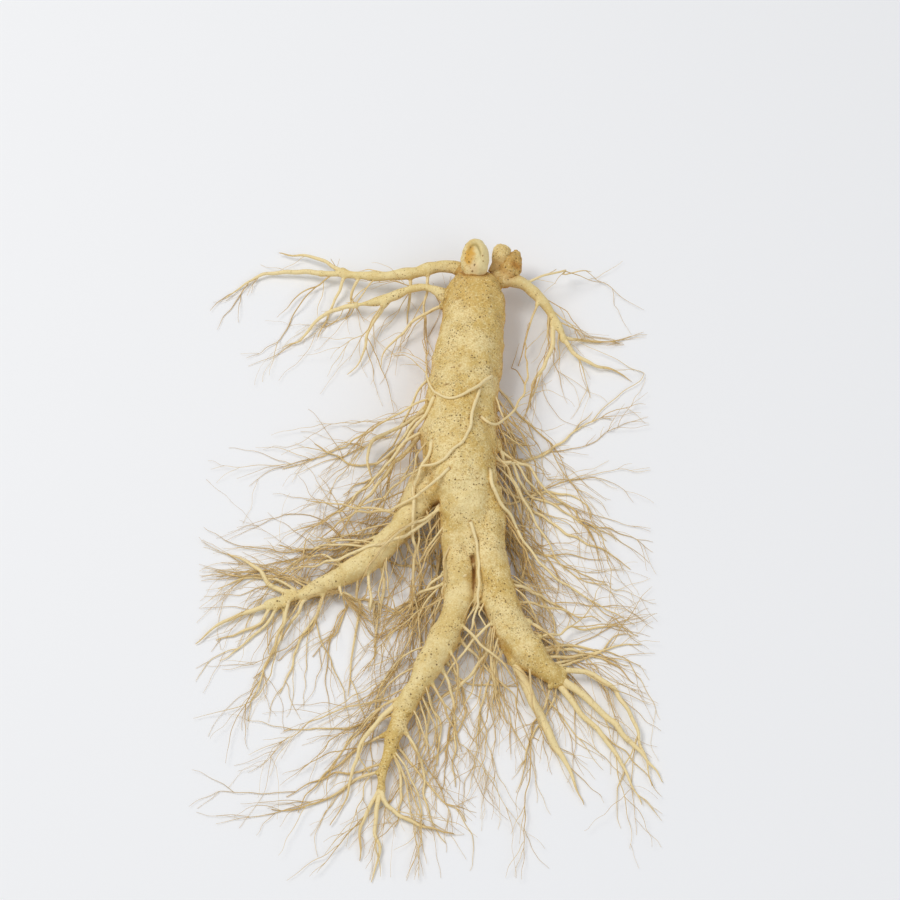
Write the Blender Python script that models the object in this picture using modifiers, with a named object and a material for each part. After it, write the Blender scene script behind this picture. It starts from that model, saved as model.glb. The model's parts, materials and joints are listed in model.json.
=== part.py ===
"""A fresh ginseng root, dug and washed, lying on its back on a flat surface.

It grew as one piece, so it is one solid: the stout main root with its shoulders, the knobby
crown with two buds, three tapering legs, three thin arms that leave the neck, and the rootlets.
+X is the root's right as seen from above, +Y points to the crown and +Z is up. The origin is the
middle of the flat patch that the fattest part of the main root rests on.
"""

import math
import random

import bmesh
import bpy
from mathutils import Vector

MM = 0.001

# Driving dimensions, in millimetres. A root's station is (x, y, z, share of its stoutest radius).
BODY_RADIUS = 14.8
LEFT_LEG_RADIUS = 5.4
RIGHT_LEG_RADIUS = 6.9
SIDE_LEG_RADIUS = 5.8
ARM_RADIUS = 2.5
BUD_RADIUS = 5.9
KNOB_RADIUS = 3.6
ROOTLET_RADIUS = 1.0
FINE_RADIUS = 0.45

# The main root, from the neck under the buds to where it ends as a web between two legs.
BODY = [
    (5.6, 73, 13.0, 0.34),
    (5.8, 70, 13.0, 0.58),
    (6.2, 65, 13.2, 0.76),
    (6.6, 58, 13.4, 0.84),
    (4.8, 44, 13.2, 0.87),
    (2.6, 28, 13.6, 0.93),
    (0.8, 14, 14.0, 0.97),
    (-0.2, 0, 14.2, 0.99),
    (-0.4, -13, 14.3, 1.00),
    (0.8, -24, 13.8, 0.95),
    (2.8, -34, 12.6, 0.80),
    (4.6, -45, 11.0, 0.60),
    (5.6, -55, 9.8, 0.34),
]
LEFT_LEG = [
    (-0.8, -24, 13.0, 1.70),
    (-1.6, -39, 11.0, 1.32),
    (-1.0, -52, 9.4, 1.05),
    (-0.2, -63, 8.6, 1.00),
    (-1.2, -74, 8.0, 1.00),
    (-5.6, -87, 7.6, 0.97),
    (-12, -99, 7.0, 0.88),
    (-18.4, -111, 6.0, 0.76),
    (-23.4, -122, 5.0, 0.58),
    (-27.4, -134, 4.0, 0.42),
    (-30, -144, 3.2, 0.30),
    (-30.6, -151, 2.6, 0.22),
]
RIGHT_LEG = [
    (7.2, -27, 13.0, 1.35),
    (9.6, -42, 11.6, 1.15),
    (11.6, -55, 10.2, 1.00),
    (14.0, -68, 9.2, 0.96),
    (17.4, -79, 8.6, 1.00),
    (22.0, -89, 7.8, 0.95),
    (28.4, -96.5, 6.6, 0.82),
    (34.6, -101.5, 5.4, 0.63),
    (39.4, -105, 4.6, 0.36),
]
SIDE_LEG = [
    (-5.0, -13, 13.0, 1.45),
    (-12.6, -24, 12.0, 1.22),
    (-20.0, -37, 10.2, 0.98),
    (-28.0, -47.5, 8.4, 0.88),
    (-38.0, -56, 6.8, 0.79),
    (-49.0, -62.4, 5.2, 0.67),
    (-60.0, -67, 4.0, 0.48),
    (-67.5, -69.5, 3.0, 0.34),
    (-75.5, -72, 2.4, 0.24),
]
UPPER_ARM = [
    (3.0, 74, 12.0, 1.30),
    (-2.0, 77.5, 12.0, 1.04),
    (-12, 77, 11.2, 0.96),
    (-24, 75, 10.0, 0.94),
    (-36, 75, 8.4, 0.82),
    (-48, 77.5, 6.4, 0.66),
    (-59, 79, 4.4, 0.50),
]
LOWER_ARM = [
    (-1.0, 60, 12.0, 1.10),
    (-6.4, 63.5, 12.5, 0.82),
    (-11.5, 67, 12.4, 0.76),
    (-18, 68, 11.4, 0.72),
    (-26, 66, 9.6, 0.66),
    (-36, 63.6, 7.2, 0.58),
    (-44, 63, 5.2, 0.50),
]
RIGHT_ARM = [
    (12.5, 66.5, 13.4, 1.30),
    (17.8, 69.2, 14.6, 1.04),
    (24.8, 69.0, 13.4, 0.92),
    (31, 65.4, 11.4, 0.84),
    (36.2, 59.6, 9.4, 0.76),
    (40, 53.0, 7.0, 0.62),
    (43.2, 47, 4.8, 0.48),
]
LARGE_BUD = [
    (5.8, 68.3, 19.8, 0.64),
    (6.0, 70.9, 20.8, 0.90),
    (6.2, 74.5, 22.0, 1.00),
    (6.4, 78.0, 23.2, 0.93),
    (6.5, 80.6, 24.0, 0.74),
    (6.6, 82.2, 24.5, 0.48),
    (6.6, 83.2, 24.8, 0.18),
]
SMALL_BUD = [
    (14.0, 73.5, 13.2, 0.75),
    (15.8, 77.0, 14.6, 0.82),
    (16.8, 79.8, 15.6, 1.04),
    (17.2, 81.8, 16.1, 1.10),
    (17.4, 83.6, 16.5, 0.98),
    (17.5, 84.8, 16.8, 0.70),
    (17.6, 85.4, 17.0, 0.26),
]
# The old stem's stump, a lumpy wedge that leans back from the shoulder beside the small bud.
STUMP = [
    (11.0, 68.0, 12.4, 1.10),
    (15.5, 70.5, 13.0, 1.16),
    (19.4, 72.8, 13.8, 1.30),
    (21.1, 76.0, 14.4, 1.22),
    (22.2, 79.2, 14.6, 0.98),
    (22.9, 82.0, 14.4, 0.68),
    (23.2, 84.4, 14.2, 0.26),
]
THICK_ROOTS = [
    (BODY, BODY_RADIUS),
    (LEFT_LEG, LEFT_LEG_RADIUS),
    (RIGHT_LEG, RIGHT_LEG_RADIUS),
    (SIDE_LEG, SIDE_LEG_RADIUS),
    (UPPER_ARM, ARM_RADIUS),
    (LOWER_ARM, ARM_RADIUS),
    (RIGHT_ARM, ARM_RADIUS),
    (LARGE_BUD, BUD_RADIUS),
    (SMALL_BUD, KNOB_RADIUS),
    (STUMP, KNOB_RADIUS),
]

# Rootlets that have a place of their own, from the skin to the tip. The first station is sunk in.
ROOTLETS = {
    "belt": [
        (11, 20, 21.5, 1.0), (6.8, 12.7, 27.8, 0.85), (1.6, 8, 29.0, 0.75), (-4, 7, 28.4, 0.7),
        (-8, 9.6, 26.2, 0.65), (-11.4, 15, 22, 0.6), (-13.6, 25, 16, 0.55), (-13.6, 32, 13, 0.5),
        (-12.4, 40, 10, 0.45),
    ],
    "sash": [
        (7.2, 12, 25.5, 0.9), (5.2, 2, 28.4, 0.8), (3.2, -9, 29.1, 0.8), (-3.6, -18.5, 29.2, 0.75),
        (-8.6, -21.5, 27.4, 0.75), (-14.8, -21, 22.5, 0.7), (-24.4, -24.5, 14.5, 0.6),
        (-34, -29.4, 8, 0.55), (-44, -31, 4.5, 0.5), (-54, -33, 2.2, 0.4),
    ],
    "drop": [
        (-9.8, -10, 23.5, 1.0), (-12.4, -16.5, 23.6, 0.95), (-16.4, -23, 21.0, 0.95),
        (-18.6, -31, 18.8, 0.9), (-18.6, -40, 17.6, 0.9), (-18, -50, 12, 0.8), (-18.4, -62, 6.2, 0.7),
        (-19.6, -73, 3.4, 0.6), (-24, -80, 2.2, 0.5), (-34, -90, 1.2, 0.4),
    ],
    "right_hip": [
        (10.4, -22, 21.5, 1.0), (12.6, -29.5, 22.4, 0.95), (16.4, -35, 18, 0.9), (22, -41, 11, 0.8),
        (28, -51, 6.8, 0.7), (36, -60, 4.6, 0.65), (47, -67, 3, 0.55), (60, -75, 1.6, 0.45),
        (69, -80, 1.0, 0.4),
    ],
    "right_flank": [
        (13, -4, 15, 0.9), (16.8, -10.5, 12.6, 0.75), (20, -19, 9.6, 0.7), (25, -27, 7, 0.65),
        (30, -36, 4.8, 0.55), (35.6, -46, 3, 0.5), (41, -57, 1.4, 0.4),
    ],
    "loop": [
        (8, 0.5, 24, 0.9), (11.8, -2.6, 24.6, 0.75), (15.2, -1.2, 21.8, 0.7), (19, 4, 18.4, 0.65),
        (24, 13, 14.8, 0.6), (27.6, 27, 11.6, 0.5), (27, 41, 8.2, 0.45), (27.6, 52, 4.6, 0.4),
    ],
    "left_flank_high": [
        (-8.8, 10, 22.5, 1.1), (-12.8, 4, 20.5, 0.95), (-18, 0, 16.6, 0.9), (-25.6, -9.5, 11, 0.8),
        (-33, -17, 7.6, 0.7), (-43, -27, 4.6, 0.6), (-55, -35.5, 2.4, 0.5), (-66, -39, 1.0, 0.4),
    ],
    "left_flank_low": [
        (-12.6, 9, 16, 1.0), (-18.8, 5, 14, 0.8), (-26, 2, 11, 0.75), (-35, -1, 7.6, 0.7),
        (-37, -8, 5, 0.6), (-35, -16, 2.8, 0.5), (-33, -24, 1.2, 0.4),
    ],
    "left_hip": [
        (-13, 1, 14, 1.1), (-19.6, -5.6, 11.2, 0.95), (-27, -13, 7.8, 0.85), (-34, -21.6, 4.8, 0.7),
        (-42, -31, 2.4, 0.55), (-49, -42, 1.1, 0.4),
    ],
    "ribbon": [
        (-4, -24, 26.8, 0.9), (-9.6, -29, 25.6, 0.8), (-15, -31, 21, 0.75), (-20, -34, 18.6, 0.75),
        (-29, -35, 14, 0.65), (-39, -33, 9, 0.6), (-50, -28.5, 5, 0.5), (-62, -25, 2, 0.4),
    ],
    "crotch": [
        (-7.4, -34, 14.6, 1.1), (-12.4, -41, 16.2, 0.95), (-18.4, -46, 15.9, 0.9),
        (-26.4, -49.6, 14.2, 0.85), (-39, -52.4, 11.8, 0.75), (-52, -56, 7.8, 0.65),
        (-64, -57, 4.2, 0.5), (-77, -59.6, 1.6, 0.4),
    ],
    "between_legs": [
        (4.2, -44, 19.4, 1.0), (6.4, -52, 17.6, 0.8), (7.2, -61, 15.8, 0.75), (7.4, -71, 14.2, 0.7),
        (6.4, -79, 11.2, 0.65), (3, -87, 7.6, 0.55), (-2, -92, 4.4, 0.5), (-7, -99, 2.0, 0.4),
    ],
    "inner_calf": [
        (13.6, -80, 5.6, 1.0), (11.2, -88, 4.2, 0.8), (9, -95, 3.2, 0.75), (2, -104.6, 2.4, 0.65),
        (-6, -111, 1.7, 0.55), (-11, -120, 1.0, 0.4),
    ],
    "heel": [
        (18.6, -88, 5.4, 2.1), (24, -104, 4.2, 2.0), (31, -119, 3.2, 1.8), (37, -132, 2.4, 1.4),
        (42.6, -143, 1.8, 1.0), (47, -156, 1.0, 0.6),
    ],
    "toe_right_high": [
        (37, -101.6, 5.0, 1.3), (44, -101.6, 5.2, 1.1), (52, -103.4, 4.6, 1.0), (60.4, -110, 3.8, 0.9),
        (66.6, -121, 2.8, 0.75), (70.6, -135, 1.8, 0.6), (73, -148, 1.0, 0.4),
    ],
    "toe_right_mid": [
        (37.6, -103.6, 4.4, 1.8), (50, -113.6, 3.6, 1.4), (61, -125.4, 2.8, 1.15),
        (71, -136.6, 2.0, 0.85), (78, -147, 1.0, 0.5),
    ],
    "toe_right_low": [
        (36, -103, 3.4, 1.6), (46, -117, 2.8, 1.15), (55, -127, 2.2, 0.95), (63, -141, 1.5, 0.7),
        (69, -156, 0.9, 0.4),
    ],
    "toe_left_out": [
        (-30.4, -150, 2.6, 1.1), (-28.6, -156, 2.4, 0.9), (-20.8, -162, 1.8, 0.75),
        (-12, -165.6, 1.3, 0.55), (-2, -168, 0.9, 0.4),
    ],
    "toe_left_mid": [
        (-30.6, -149, 2.4, 1.2), (-31.8, -158, 2.0, 0.9), (-32.6, -166, 1.5, 0.75),
        (-31, -176, 1.1, 0.55), (-34, -187, 0.8, 0.4),
    ],
    "toe_left_in": [
        (-30.2, -148, 2.2, 1.0), (-34, -156, 1.8, 0.75), (-38, -166, 1.4, 0.6), (-38.6, -178, 0.9, 0.4),
    ],
    "shin_left": [
        (-20.4, -112, 6.4, 1.4), (-30, -121, 5.0, 1.0), (-37, -128.6, 3.6, 0.9),
        (-40.6, -139, 2.4, 0.7), (-43.4, -152, 1.4, 0.5), (-50, -164, 0.8, 0.35),
    ],
    "side_toe_far": [
        (-73, -71.4, 2.6, 1.25), (-84, -75.4, 2.0, 0.9), (-94, -80, 1.4, 0.65), (-104, -88, 0.8, 0.4),
    ],
    "side_toe_high": [
        (-66, -69, 3.2, 1.2), (-75, -62.6, 2.8, 0.95), (-83, -54, 2.0, 0.7), (-93, -48.6, 1.2, 0.5),
    ],
    "side_toe_near": [
        (-58, -67, 3.4, 1.2), (-61, -70.4, 3.0, 0.8), (-65, -77, 2.2, 0.65), (-70, -87, 1.1, 0.4),
    ],
    "upper_arm_tip": [
        (-57, 78.8, 4.8, 1.15), (-70, 81, 3.2, 0.95), (-80, 80, 2.0, 0.7), (-89, 76, 1.2, 0.5),
        (-97, 69, 0.8, 0.35),
    ],
    "upper_arm_fork": [
        (-46, 77, 6.8, 1.1), (-54, 83, 5.4, 0.8), (-64, 88, 3.4, 0.6), (-76, 90, 1.4, 0.4),
    ],
    "lower_arm_tip": [
        (-42, 63, 5.6, 1.1), (-50, 62.4, 4.0, 0.9), (-58, 58, 2.8, 0.7), (-64, 50, 1.8, 0.55),
        (-73, 46, 1.0, 0.4),
    ],
    "lower_arm_fork": [
        (-30, 65, 8.6, 1.0), (-33, 58, 6.4, 0.75), (-38, 50, 4.2, 0.6), (-40, 40, 2.0, 0.45),
        (-46, 33, 0.9, 0.35),
    ],
    "right_arm_tip": [
        (42, 48.4, 5.4, 1.1), (47, 42, 4.0, 0.9), (53, 37, 2.8, 0.7), (61, 35, 1.8, 0.55),
        (70, 30, 1.0, 0.4),
    ],
    "right_arm_fork": [
        (38, 53.6, 7.0, 1.2), (38, 44, 5.4, 0.95), (34.6, 36, 4.0, 0.8), (30, 27, 2.6, 0.6),
        (29, 17, 1.2, 0.4),
    ],
    "neck_hair": [
        (-3.0, 60.5, 11.0, 1.0), (-8, 59.6, 10.2, 0.75), (-15, 57, 8.4, 0.65), (-23, 50, 6, 0.55),
        (-30, 44, 3, 0.45), (-33, 36, 1.0, 0.35),
    ],
}

# How the thick roots melt together, and the broad lumps on their skin.
CURVE_STEPS = 3
THICK_SIDES = 7
BLEND_VOXEL = 1.05
BLEND_SMOOTHING = 5
SMOOTHING_GIVES_BACK = 0.12
SWELL_SIZE = 11.0
SWELL_DEPTH = 3.0
MAIN_TRIANGLES = 2800

# A rootlet's section is a triangle, a little wide so that it holds as much flesh as a round one.
ROOTLET_SIDES = 3
SECTION_REACH = 1.2

# The strewn rootlets: how many, how they bend on their way, and how far out any of them may reach.
RANDOM_SEED = 7
RANDOM_ROOTLETS = 90
ROOTLET_STEP = 10.0
TURN = 0.17
TURN_KEPT = 0.55
DOWNSTREAM = 0.15
SAG = 0.30
THINNING = 0.62
START_SHARE = 0.8
SUNK = 0.6
LOWEST_TURN = -0.5
HIGHEST_TURN = 0.5
FORWARD = 0.4
FLOOR_GAP = 0.2
REACH_LOW = (-103.0, -185.0)
REACH_HIGH = (77.0, 88.0)

SURFACE_SIZE = 1000.0
SURFACE_DEPTH = 60.0


def clear_scene():
    for old in list(bpy.data.objects):
        bpy.data.objects.remove(old, do_unlink=True)


def tapered_curve(name, stations, radius, steps, collection, section=None):
    """A root through its stations, as a Bezier curve with filled ends, round or of a given section."""
    data = bpy.data.curves.new(name, "CURVE")
    data.dimensions = "3D"
    data.bevel_depth = MM
    data.bevel_resolution = THICK_SIDES
    if section:
        data.bevel_mode = "OBJECT"
        data.bevel_object = section
    data.resolution_u = steps
    data.use_fill_caps = True
    spline = data.splines.new("BEZIER")
    spline.bezier_points.add(len(stations) - 1)
    for point, (x, y, z, share) in zip(spline.bezier_points, stations):
        point.co = (x * MM, y * MM, z * MM)
        point.radius = share * radius
        point.handle_left_type = point.handle_right_type = "AUTO"
    curve = bpy.data.objects.new(name, data)
    collection.objects.link(curve)
    return curve


def as_mesh(curve):
    """The curve as a mesh object with its caps welded on, in place of the curve."""
    name, collection = curve.name, curve.users_collection[0]
    bpy.context.view_layer.update()
    graph = bpy.context.evaluated_depsgraph_get()
    mesh = bpy.data.meshes.new_from_object(curve.evaluated_get(graph))
    bpy.data.objects.remove(curve, do_unlink=True)
    solid = bpy.data.objects.new(name, mesh)
    collection.objects.link(solid)
    weld(mesh)
    return solid


def weld(mesh):
    """Closes the seams between a tube and its caps, and turns every face outwards."""
    shape = bmesh.new()
    shape.from_mesh(mesh)
    bmesh.ops.remove_doubles(shape, verts=shape.verts, dist=0.001 * MM)
    bmesh.ops.recalc_face_normals(shape, faces=shape.faces)
    shape.to_mesh(mesh)
    shape.free()


def apply_modifiers(solid):
    """Swaps the object's mesh for the one that its modifiers make."""
    bpy.context.view_layer.update()
    graph = bpy.context.evaluated_depsgraph_get()
    solid.data = bpy.data.meshes.new_from_object(solid.evaluated_get(graph))
    solid.modifiers.clear()


def main_root(collection):
    """The body, legs, arms, buds and stump, melted into each other, as one mesh of few faces."""
    pieces = [
        as_mesh(tapered_curve(f"thick_{number}", stations, radius, CURVE_STEPS, collection))
        for number, (stations, radius) in enumerate(THICK_ROOTS)
    ]
    root = pieces[0]
    with bpy.context.temp_override(active_object=root, selected_editable_objects=pieces):
        bpy.ops.object.join()
    root.name = "ginseng_root"

    melt = root.modifiers.new("melt", "REMESH")
    melt.mode = "VOXEL"
    melt.voxel_size = BLEND_VOXEL * MM
    smooth = root.modifiers.new("smooth", "SMOOTH")
    smooth.factor = 0.5
    smooth.iterations = BLEND_SMOOTHING
    fill = root.modifiers.new("fill", "DISPLACE")
    fill.strength = SMOOTHING_GIVES_BACK * MM
    fill.mid_level = 0.0
    lumps = bpy.data.textures.new("lumps", "CLOUDS")
    lumps.noise_scale = SWELL_SIZE * MM
    lumps.noise_depth = 1
    swell = root.modifiers.new("swell", "DISPLACE")
    swell.texture = lumps
    swell.strength = SWELL_DEPTH * MM
    apply_modifiers(root)

    thin = root.modifiers.new("thin", "DECIMATE")
    thin.ratio = MAIN_TRIANGLES / (2.0 * len(root.data.polygons))
    apply_modifiers(root)
    return root


def thick_spheres():
    """Balls along every thick root, which a wandering rootlet keeps out of."""
    balls = []
    for stations, radius in THICK_ROOTS:
        for (xa, ya, za, ra), (xb, yb, zb, rb) in zip(stations, stations[1:]):
            a, b = Vector((xa, ya, za)), Vector((xb, yb, zb))
            count = max(2, int((b - a).length / 2.0))
            for step in range(count):
                part = step / count
                balls.append((a.lerp(b, part), radius * (ra + (rb - ra) * part)))
    return balls


def outward(rng, along):
    """A random direction square to a root's own, never near its top or its underside."""
    side = along.cross(Vector((0, 0, 1))).normalized()
    up = side.cross(along).normalized()
    turn = rng.uniform(LOWEST_TURN, HIGHEST_TURN)
    return (side * rng.choice((-1, 1)) * math.cos(turn) + up * math.sin(turn)).normalized()


def wander(rng, start, heading, along, length, radius, balls):
    """Stations of a rootlet that grows out along heading, turns slowly down the root and sags."""
    count = max(3, round(length / ROOTLET_STEP))
    step = length / count
    place, direction, turn = start.copy(), heading.copy(), Vector()
    stations = [(*place, radius)]
    for number in range(1, count + 1):
        turn = turn * TURN_KEPT + Vector([rng.gauss(0, 1) for _ in range(3)]) * TURN
        pull = along * DOWNSTREAM - Vector((0, 0, SAG * math.sqrt(number)))
        direction = (direction + turn + pull).normalized()
        place = place + direction * step
        thick = radius * (1.0 - THINNING * number / count)
        for centre, reach in balls:
            gap = place - centre
            if 0 < gap.length < reach + radius and number > 1:
                place = centre + gap.normalized() * (reach + radius)
        if place.z < thick + FLOOR_GAP:
            place.z = thick + FLOOR_GAP
            direction.z = 0.0
        if not all(low < x < high for x, low, high in zip(place, REACH_LOW, REACH_HIGH)):
            break
        stations.append((*place, thick))
    return stations


def random_rootlets():
    """Rootlets strewn along the lower body and the legs, thicker near the body."""
    rng = random.Random(RANDOM_SEED)
    balls = thick_spheres()
    hosts = [
        (BODY, BODY_RADIUS, 5, 11, 18, 50, 84),
        (LEFT_LEG, LEFT_LEG_RADIUS, 2, 10, 17, 34, 66),
        (RIGHT_LEG, RIGHT_LEG_RADIUS, 2, 8, 13, 34, 66),
        (SIDE_LEG, SIDE_LEG_RADIUS, 2, 8, 14, 30, 60),
        (UPPER_ARM, ARM_RADIUS, 1, 6, 3, 20, 34),
        (RIGHT_ARM, ARM_RADIUS, 1, 6, 2, 20, 34),
    ]
    found = []
    total = sum(host[4] for host in hosts)
    for stations, radius, first, last, share, shortest, longest in hosts:
        count = round(RANDOM_ROOTLETS * share / total)
        for number in range(count):
            along = first + (last - first) * (number + rng.random()) / count
            low = min(int(along), len(stations) - 2)
            part = along - low
            a, b = Vector(stations[low][:3]), Vector(stations[low + 1][:3])
            here = a.lerp(b, part)
            thick = radius * (stations[low][3] * (1 - part) + stations[low + 1][3] * part)
            flow = (b - a).normalized()
            heading = outward(rng, flow)
            start = here + heading * max(0.0, thick * START_SHARE - SUNK)
            length = rng.uniform(shortest, longest)
            size = FINE_RADIUS * rng.uniform(1.0, 1.7)
            ahead = (heading + flow * FORWARD).normalized()
            route = wander(rng, start, ahead, flow, length, size, balls)
            if len(route) > 3:
                found.append(route)
    return found


def rootlet_section():
    """The flat outline that is drawn along every rootlet."""
    data = bpy.data.curves.new("rootlet_section", "CURVE")
    spline = data.splines.new("POLY")
    spline.points.add(ROOTLET_SIDES - 1)
    for number, point in enumerate(spline.points):
        angle = 2 * math.pi * number / ROOTLET_SIDES
        reach = SECTION_REACH * MM
        point.co = (reach * math.cos(angle), reach * math.sin(angle), 0, 1)
    spline.use_cyclic_u = True
    section = bpy.data.objects.new("rootlet_section", data)
    bpy.context.scene.collection.objects.link(section)
    return section


def join_rootlets(root, collection):
    """One Boolean union puts every rootlet on the root."""
    section = rootlet_section()
    routes = [(stations, ROOTLET_RADIUS, 2) for stations in ROOTLETS.values()]
    routes += [(stations, 1.0, 1) for stations in random_rootlets()]
    for number, (stations, radius, steps) in enumerate(routes):
        as_mesh(tapered_curve(f"rootlet_{number}", stations, radius, steps, collection, section))
    bpy.data.objects.remove(section, do_unlink=True)
    union = root.modifiers.new("rootlets", "BOOLEAN")
    union.operation = "UNION"
    union.solver = "MANIFOLD"
    union.operand_type = "COLLECTION"
    union.collection = collection
    apply_modifiers(root)
    for rootlet in list(collection.objects):
        bpy.data.objects.remove(rootlet, do_unlink=True)


def press_flat(root):
    """Cuts away what would reach below the surface, which leaves the flat patches it rests on."""
    bpy.ops.mesh.primitive_cube_add(size=MM, location=(0, 0, -SURFACE_DEPTH * MM / 2))
    floor = bpy.context.object
    floor.scale = (SURFACE_SIZE, SURFACE_SIZE, SURFACE_DEPTH)
    bpy.context.view_layer.update()
    cut = root.modifiers.new("flat", "BOOLEAN")
    cut.operation = "DIFFERENCE"
    cut.solver = "MANIFOLD"
    cut.object = floor
    apply_modifiers(root)
    bpy.data.objects.remove(floor, do_unlink=True)


def skin_material():
    skin = bpy.data.materials.new("ginseng_skin")
    skin.use_nodes = True
    shader = skin.node_tree.nodes["Principled BSDF"]
    shader.inputs["Base Color"].default_value = (0.66, 0.50, 0.23, 1.0)
    shader.inputs["Roughness"].default_value = 0.6
    return skin


def main():
    clear_scene()
    parts = bpy.data.collections.new("ginseng")
    rootlets = bpy.data.collections.new("rootlets")
    bpy.context.scene.collection.children.link(parts)
    bpy.context.scene.collection.children.link(rootlets)
    root = main_root(parts)
    join_rootlets(root, rootlets)
    press_flat(root)
    bpy.data.collections.remove(rootlets)
    root.data.materials.clear()
    root.data.materials.append(skin_material())
    root.data.shade_smooth()
    root.data.set_sharp_from_angle(angle=math.radians(50))


main()
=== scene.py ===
# %% [markdown]
# # A fresh ginseng root, from its skin to its hairs
#
# This lesson dresses a ginseng root in Blender. Its plain solid is already made and fixed in place:
# a stout body with a knobby crown, legs, thin arms and the thicker rootlets. Here it gets its real
# skin, its buds, and the beard of rootlets and hairs that makes a fresh root look freshly dug.
# Every length in the tables is in millimetres, and Blender's own unit is the metre.

# %% Load the plain solid
import json
import math
import random

import bpy
import numpy as np
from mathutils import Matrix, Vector
from mathutils.bvhtree import BVHTree
from mathutils.kdtree import KDTree

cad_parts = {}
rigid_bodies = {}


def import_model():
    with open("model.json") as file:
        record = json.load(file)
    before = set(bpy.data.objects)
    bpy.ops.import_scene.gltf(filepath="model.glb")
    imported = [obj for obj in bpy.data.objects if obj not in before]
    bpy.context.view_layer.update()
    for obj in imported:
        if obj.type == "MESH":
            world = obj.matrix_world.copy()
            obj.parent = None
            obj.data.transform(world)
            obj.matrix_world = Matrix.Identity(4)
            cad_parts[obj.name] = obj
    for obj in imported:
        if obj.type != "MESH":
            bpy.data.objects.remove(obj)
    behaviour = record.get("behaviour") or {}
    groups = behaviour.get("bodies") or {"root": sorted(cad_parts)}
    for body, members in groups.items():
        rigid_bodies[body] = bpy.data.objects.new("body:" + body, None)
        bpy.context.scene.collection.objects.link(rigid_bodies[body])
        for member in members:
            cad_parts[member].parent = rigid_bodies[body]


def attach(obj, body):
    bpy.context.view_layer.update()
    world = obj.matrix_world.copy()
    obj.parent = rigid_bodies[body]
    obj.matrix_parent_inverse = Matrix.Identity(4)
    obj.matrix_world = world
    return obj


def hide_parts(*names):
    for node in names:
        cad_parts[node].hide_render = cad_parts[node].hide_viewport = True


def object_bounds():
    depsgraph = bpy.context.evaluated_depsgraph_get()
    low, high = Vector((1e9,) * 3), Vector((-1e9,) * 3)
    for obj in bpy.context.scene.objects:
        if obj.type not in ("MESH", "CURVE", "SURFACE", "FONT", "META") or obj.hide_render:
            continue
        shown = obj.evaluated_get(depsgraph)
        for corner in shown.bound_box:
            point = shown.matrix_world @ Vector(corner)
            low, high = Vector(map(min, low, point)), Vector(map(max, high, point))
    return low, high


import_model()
for thing in bpy.context.scene.objects:
    thing.select_set(False)

MM = 0.001
NODE = "ginseng_root"
solid_low, solid_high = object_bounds()
print("solid from", [round(x / MM, 1) for x in solid_low], "to", [round(x / MM, 1) for x in solid_high])

# %% [markdown]
# ## The camera
#
# The root lies on a flat surface, and the eye looks down on it from the side of its feet. A long
# lens from a good way off keeps the legs and the crown in proportion, where a short lens close by
# would swell the feet. The camera comes first, because every later step is judged through it.

# %% The camera
LOOK_DOWN = math.radians(62)
CAMERA_DISTANCE = 1.3
CAMERA_LENS = 130.0
CAMERA_AIM = Vector((-0.0040, -0.0091, 0.0140))

sight = Vector((0, math.cos(LOOK_DOWN), -math.sin(LOOK_DOWN)))
bpy.ops.object.camera_add(location=CAMERA_AIM - sight * CAMERA_DISTANCE)
camera = bpy.context.object
camera.rotation_euler = sight.to_track_quat("-Z", "Y").to_euler()
camera.data.lens = CAMERA_LENS
bpy.context.scene.camera = camera
print("camera at", tuple(round(x, 3) for x in camera.location))

# %% [markdown]
# ## The routes of the thick roots
#
# A root is a tapering tube along a gently bending line, so each is a list of stations: a place, and
# the radius there as a share of that root's own. The same stations made the plain solid. A curve
# with few points stays smooth and easy to correct, where a sculpted mesh would have thousands.

# %% The routes of the thick roots
BODY_RADIUS, ARM_RADIUS = 14.8, 2.5
LEFT_LEG_RADIUS, RIGHT_LEG_RADIUS, SIDE_LEG_RADIUS = 5.4, 6.9, 5.8
BUD_RADIUS, KNOB_RADIUS = 5.9, 3.6
ROOTLET_RADIUS, FINE_RADIUS = 1.0, 0.45

BODY = [
    (5.6, 73, 13.0, 0.34), (5.8, 70, 13.0, 0.58), (6.2, 65, 13.2, 0.76), (6.6, 58, 13.4, 0.84),
    (4.8, 44, 13.2, 0.87), (2.6, 28, 13.6, 0.93), (0.8, 14, 14.0, 0.97), (-0.2, 0, 14.2, 0.99),
    (-0.4, -13, 14.3, 1.00), (0.8, -24, 13.8, 0.95), (2.8, -34, 12.6, 0.80), (4.6, -45, 11.0, 0.60),
    (5.6, -55, 9.8, 0.34),
]
LEFT_LEG = [
    (-0.8, -24, 13.0, 1.70), (-1.6, -39, 11.0, 1.32), (-1.0, -52, 9.4, 1.05), (-0.2, -63, 8.6, 1.00),
    (-1.2, -74, 8.0, 1.00), (-5.6, -87, 7.6, 0.97), (-12, -99, 7.0, 0.88), (-18.4, -111, 6.0, 0.76),
    (-23.4, -122, 5.0, 0.58), (-27.4, -134, 4.0, 0.42), (-30, -144, 3.2, 0.30), (-30.6, -151, 2.6, 0.22),
]
RIGHT_LEG = [
    (7.2, -27, 13.0, 1.35), (9.6, -42, 11.6, 1.15), (11.6, -55, 10.2, 1.00), (14.0, -68, 9.2, 0.96),
    (17.4, -79, 8.6, 1.00), (22.0, -89, 7.8, 0.95), (28.4, -96.5, 6.6, 0.82), (34.6, -101.5, 5.4, 0.63),
    (39.4, -105, 4.6, 0.36),
]
SIDE_LEG = [
    (-5.0, -13, 13.0, 1.45), (-12.6, -24, 12.0, 1.22), (-20.0, -37, 10.2, 0.98), (-28.0, -47.5, 8.4, 0.88),
    (-38.0, -56, 6.8, 0.79), (-49.0, -62.4, 5.2, 0.67), (-60.0, -67, 4.0, 0.48), (-67.5, -69.5, 3.0, 0.34),
    (-75.5, -72, 2.4, 0.24),
]
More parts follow.
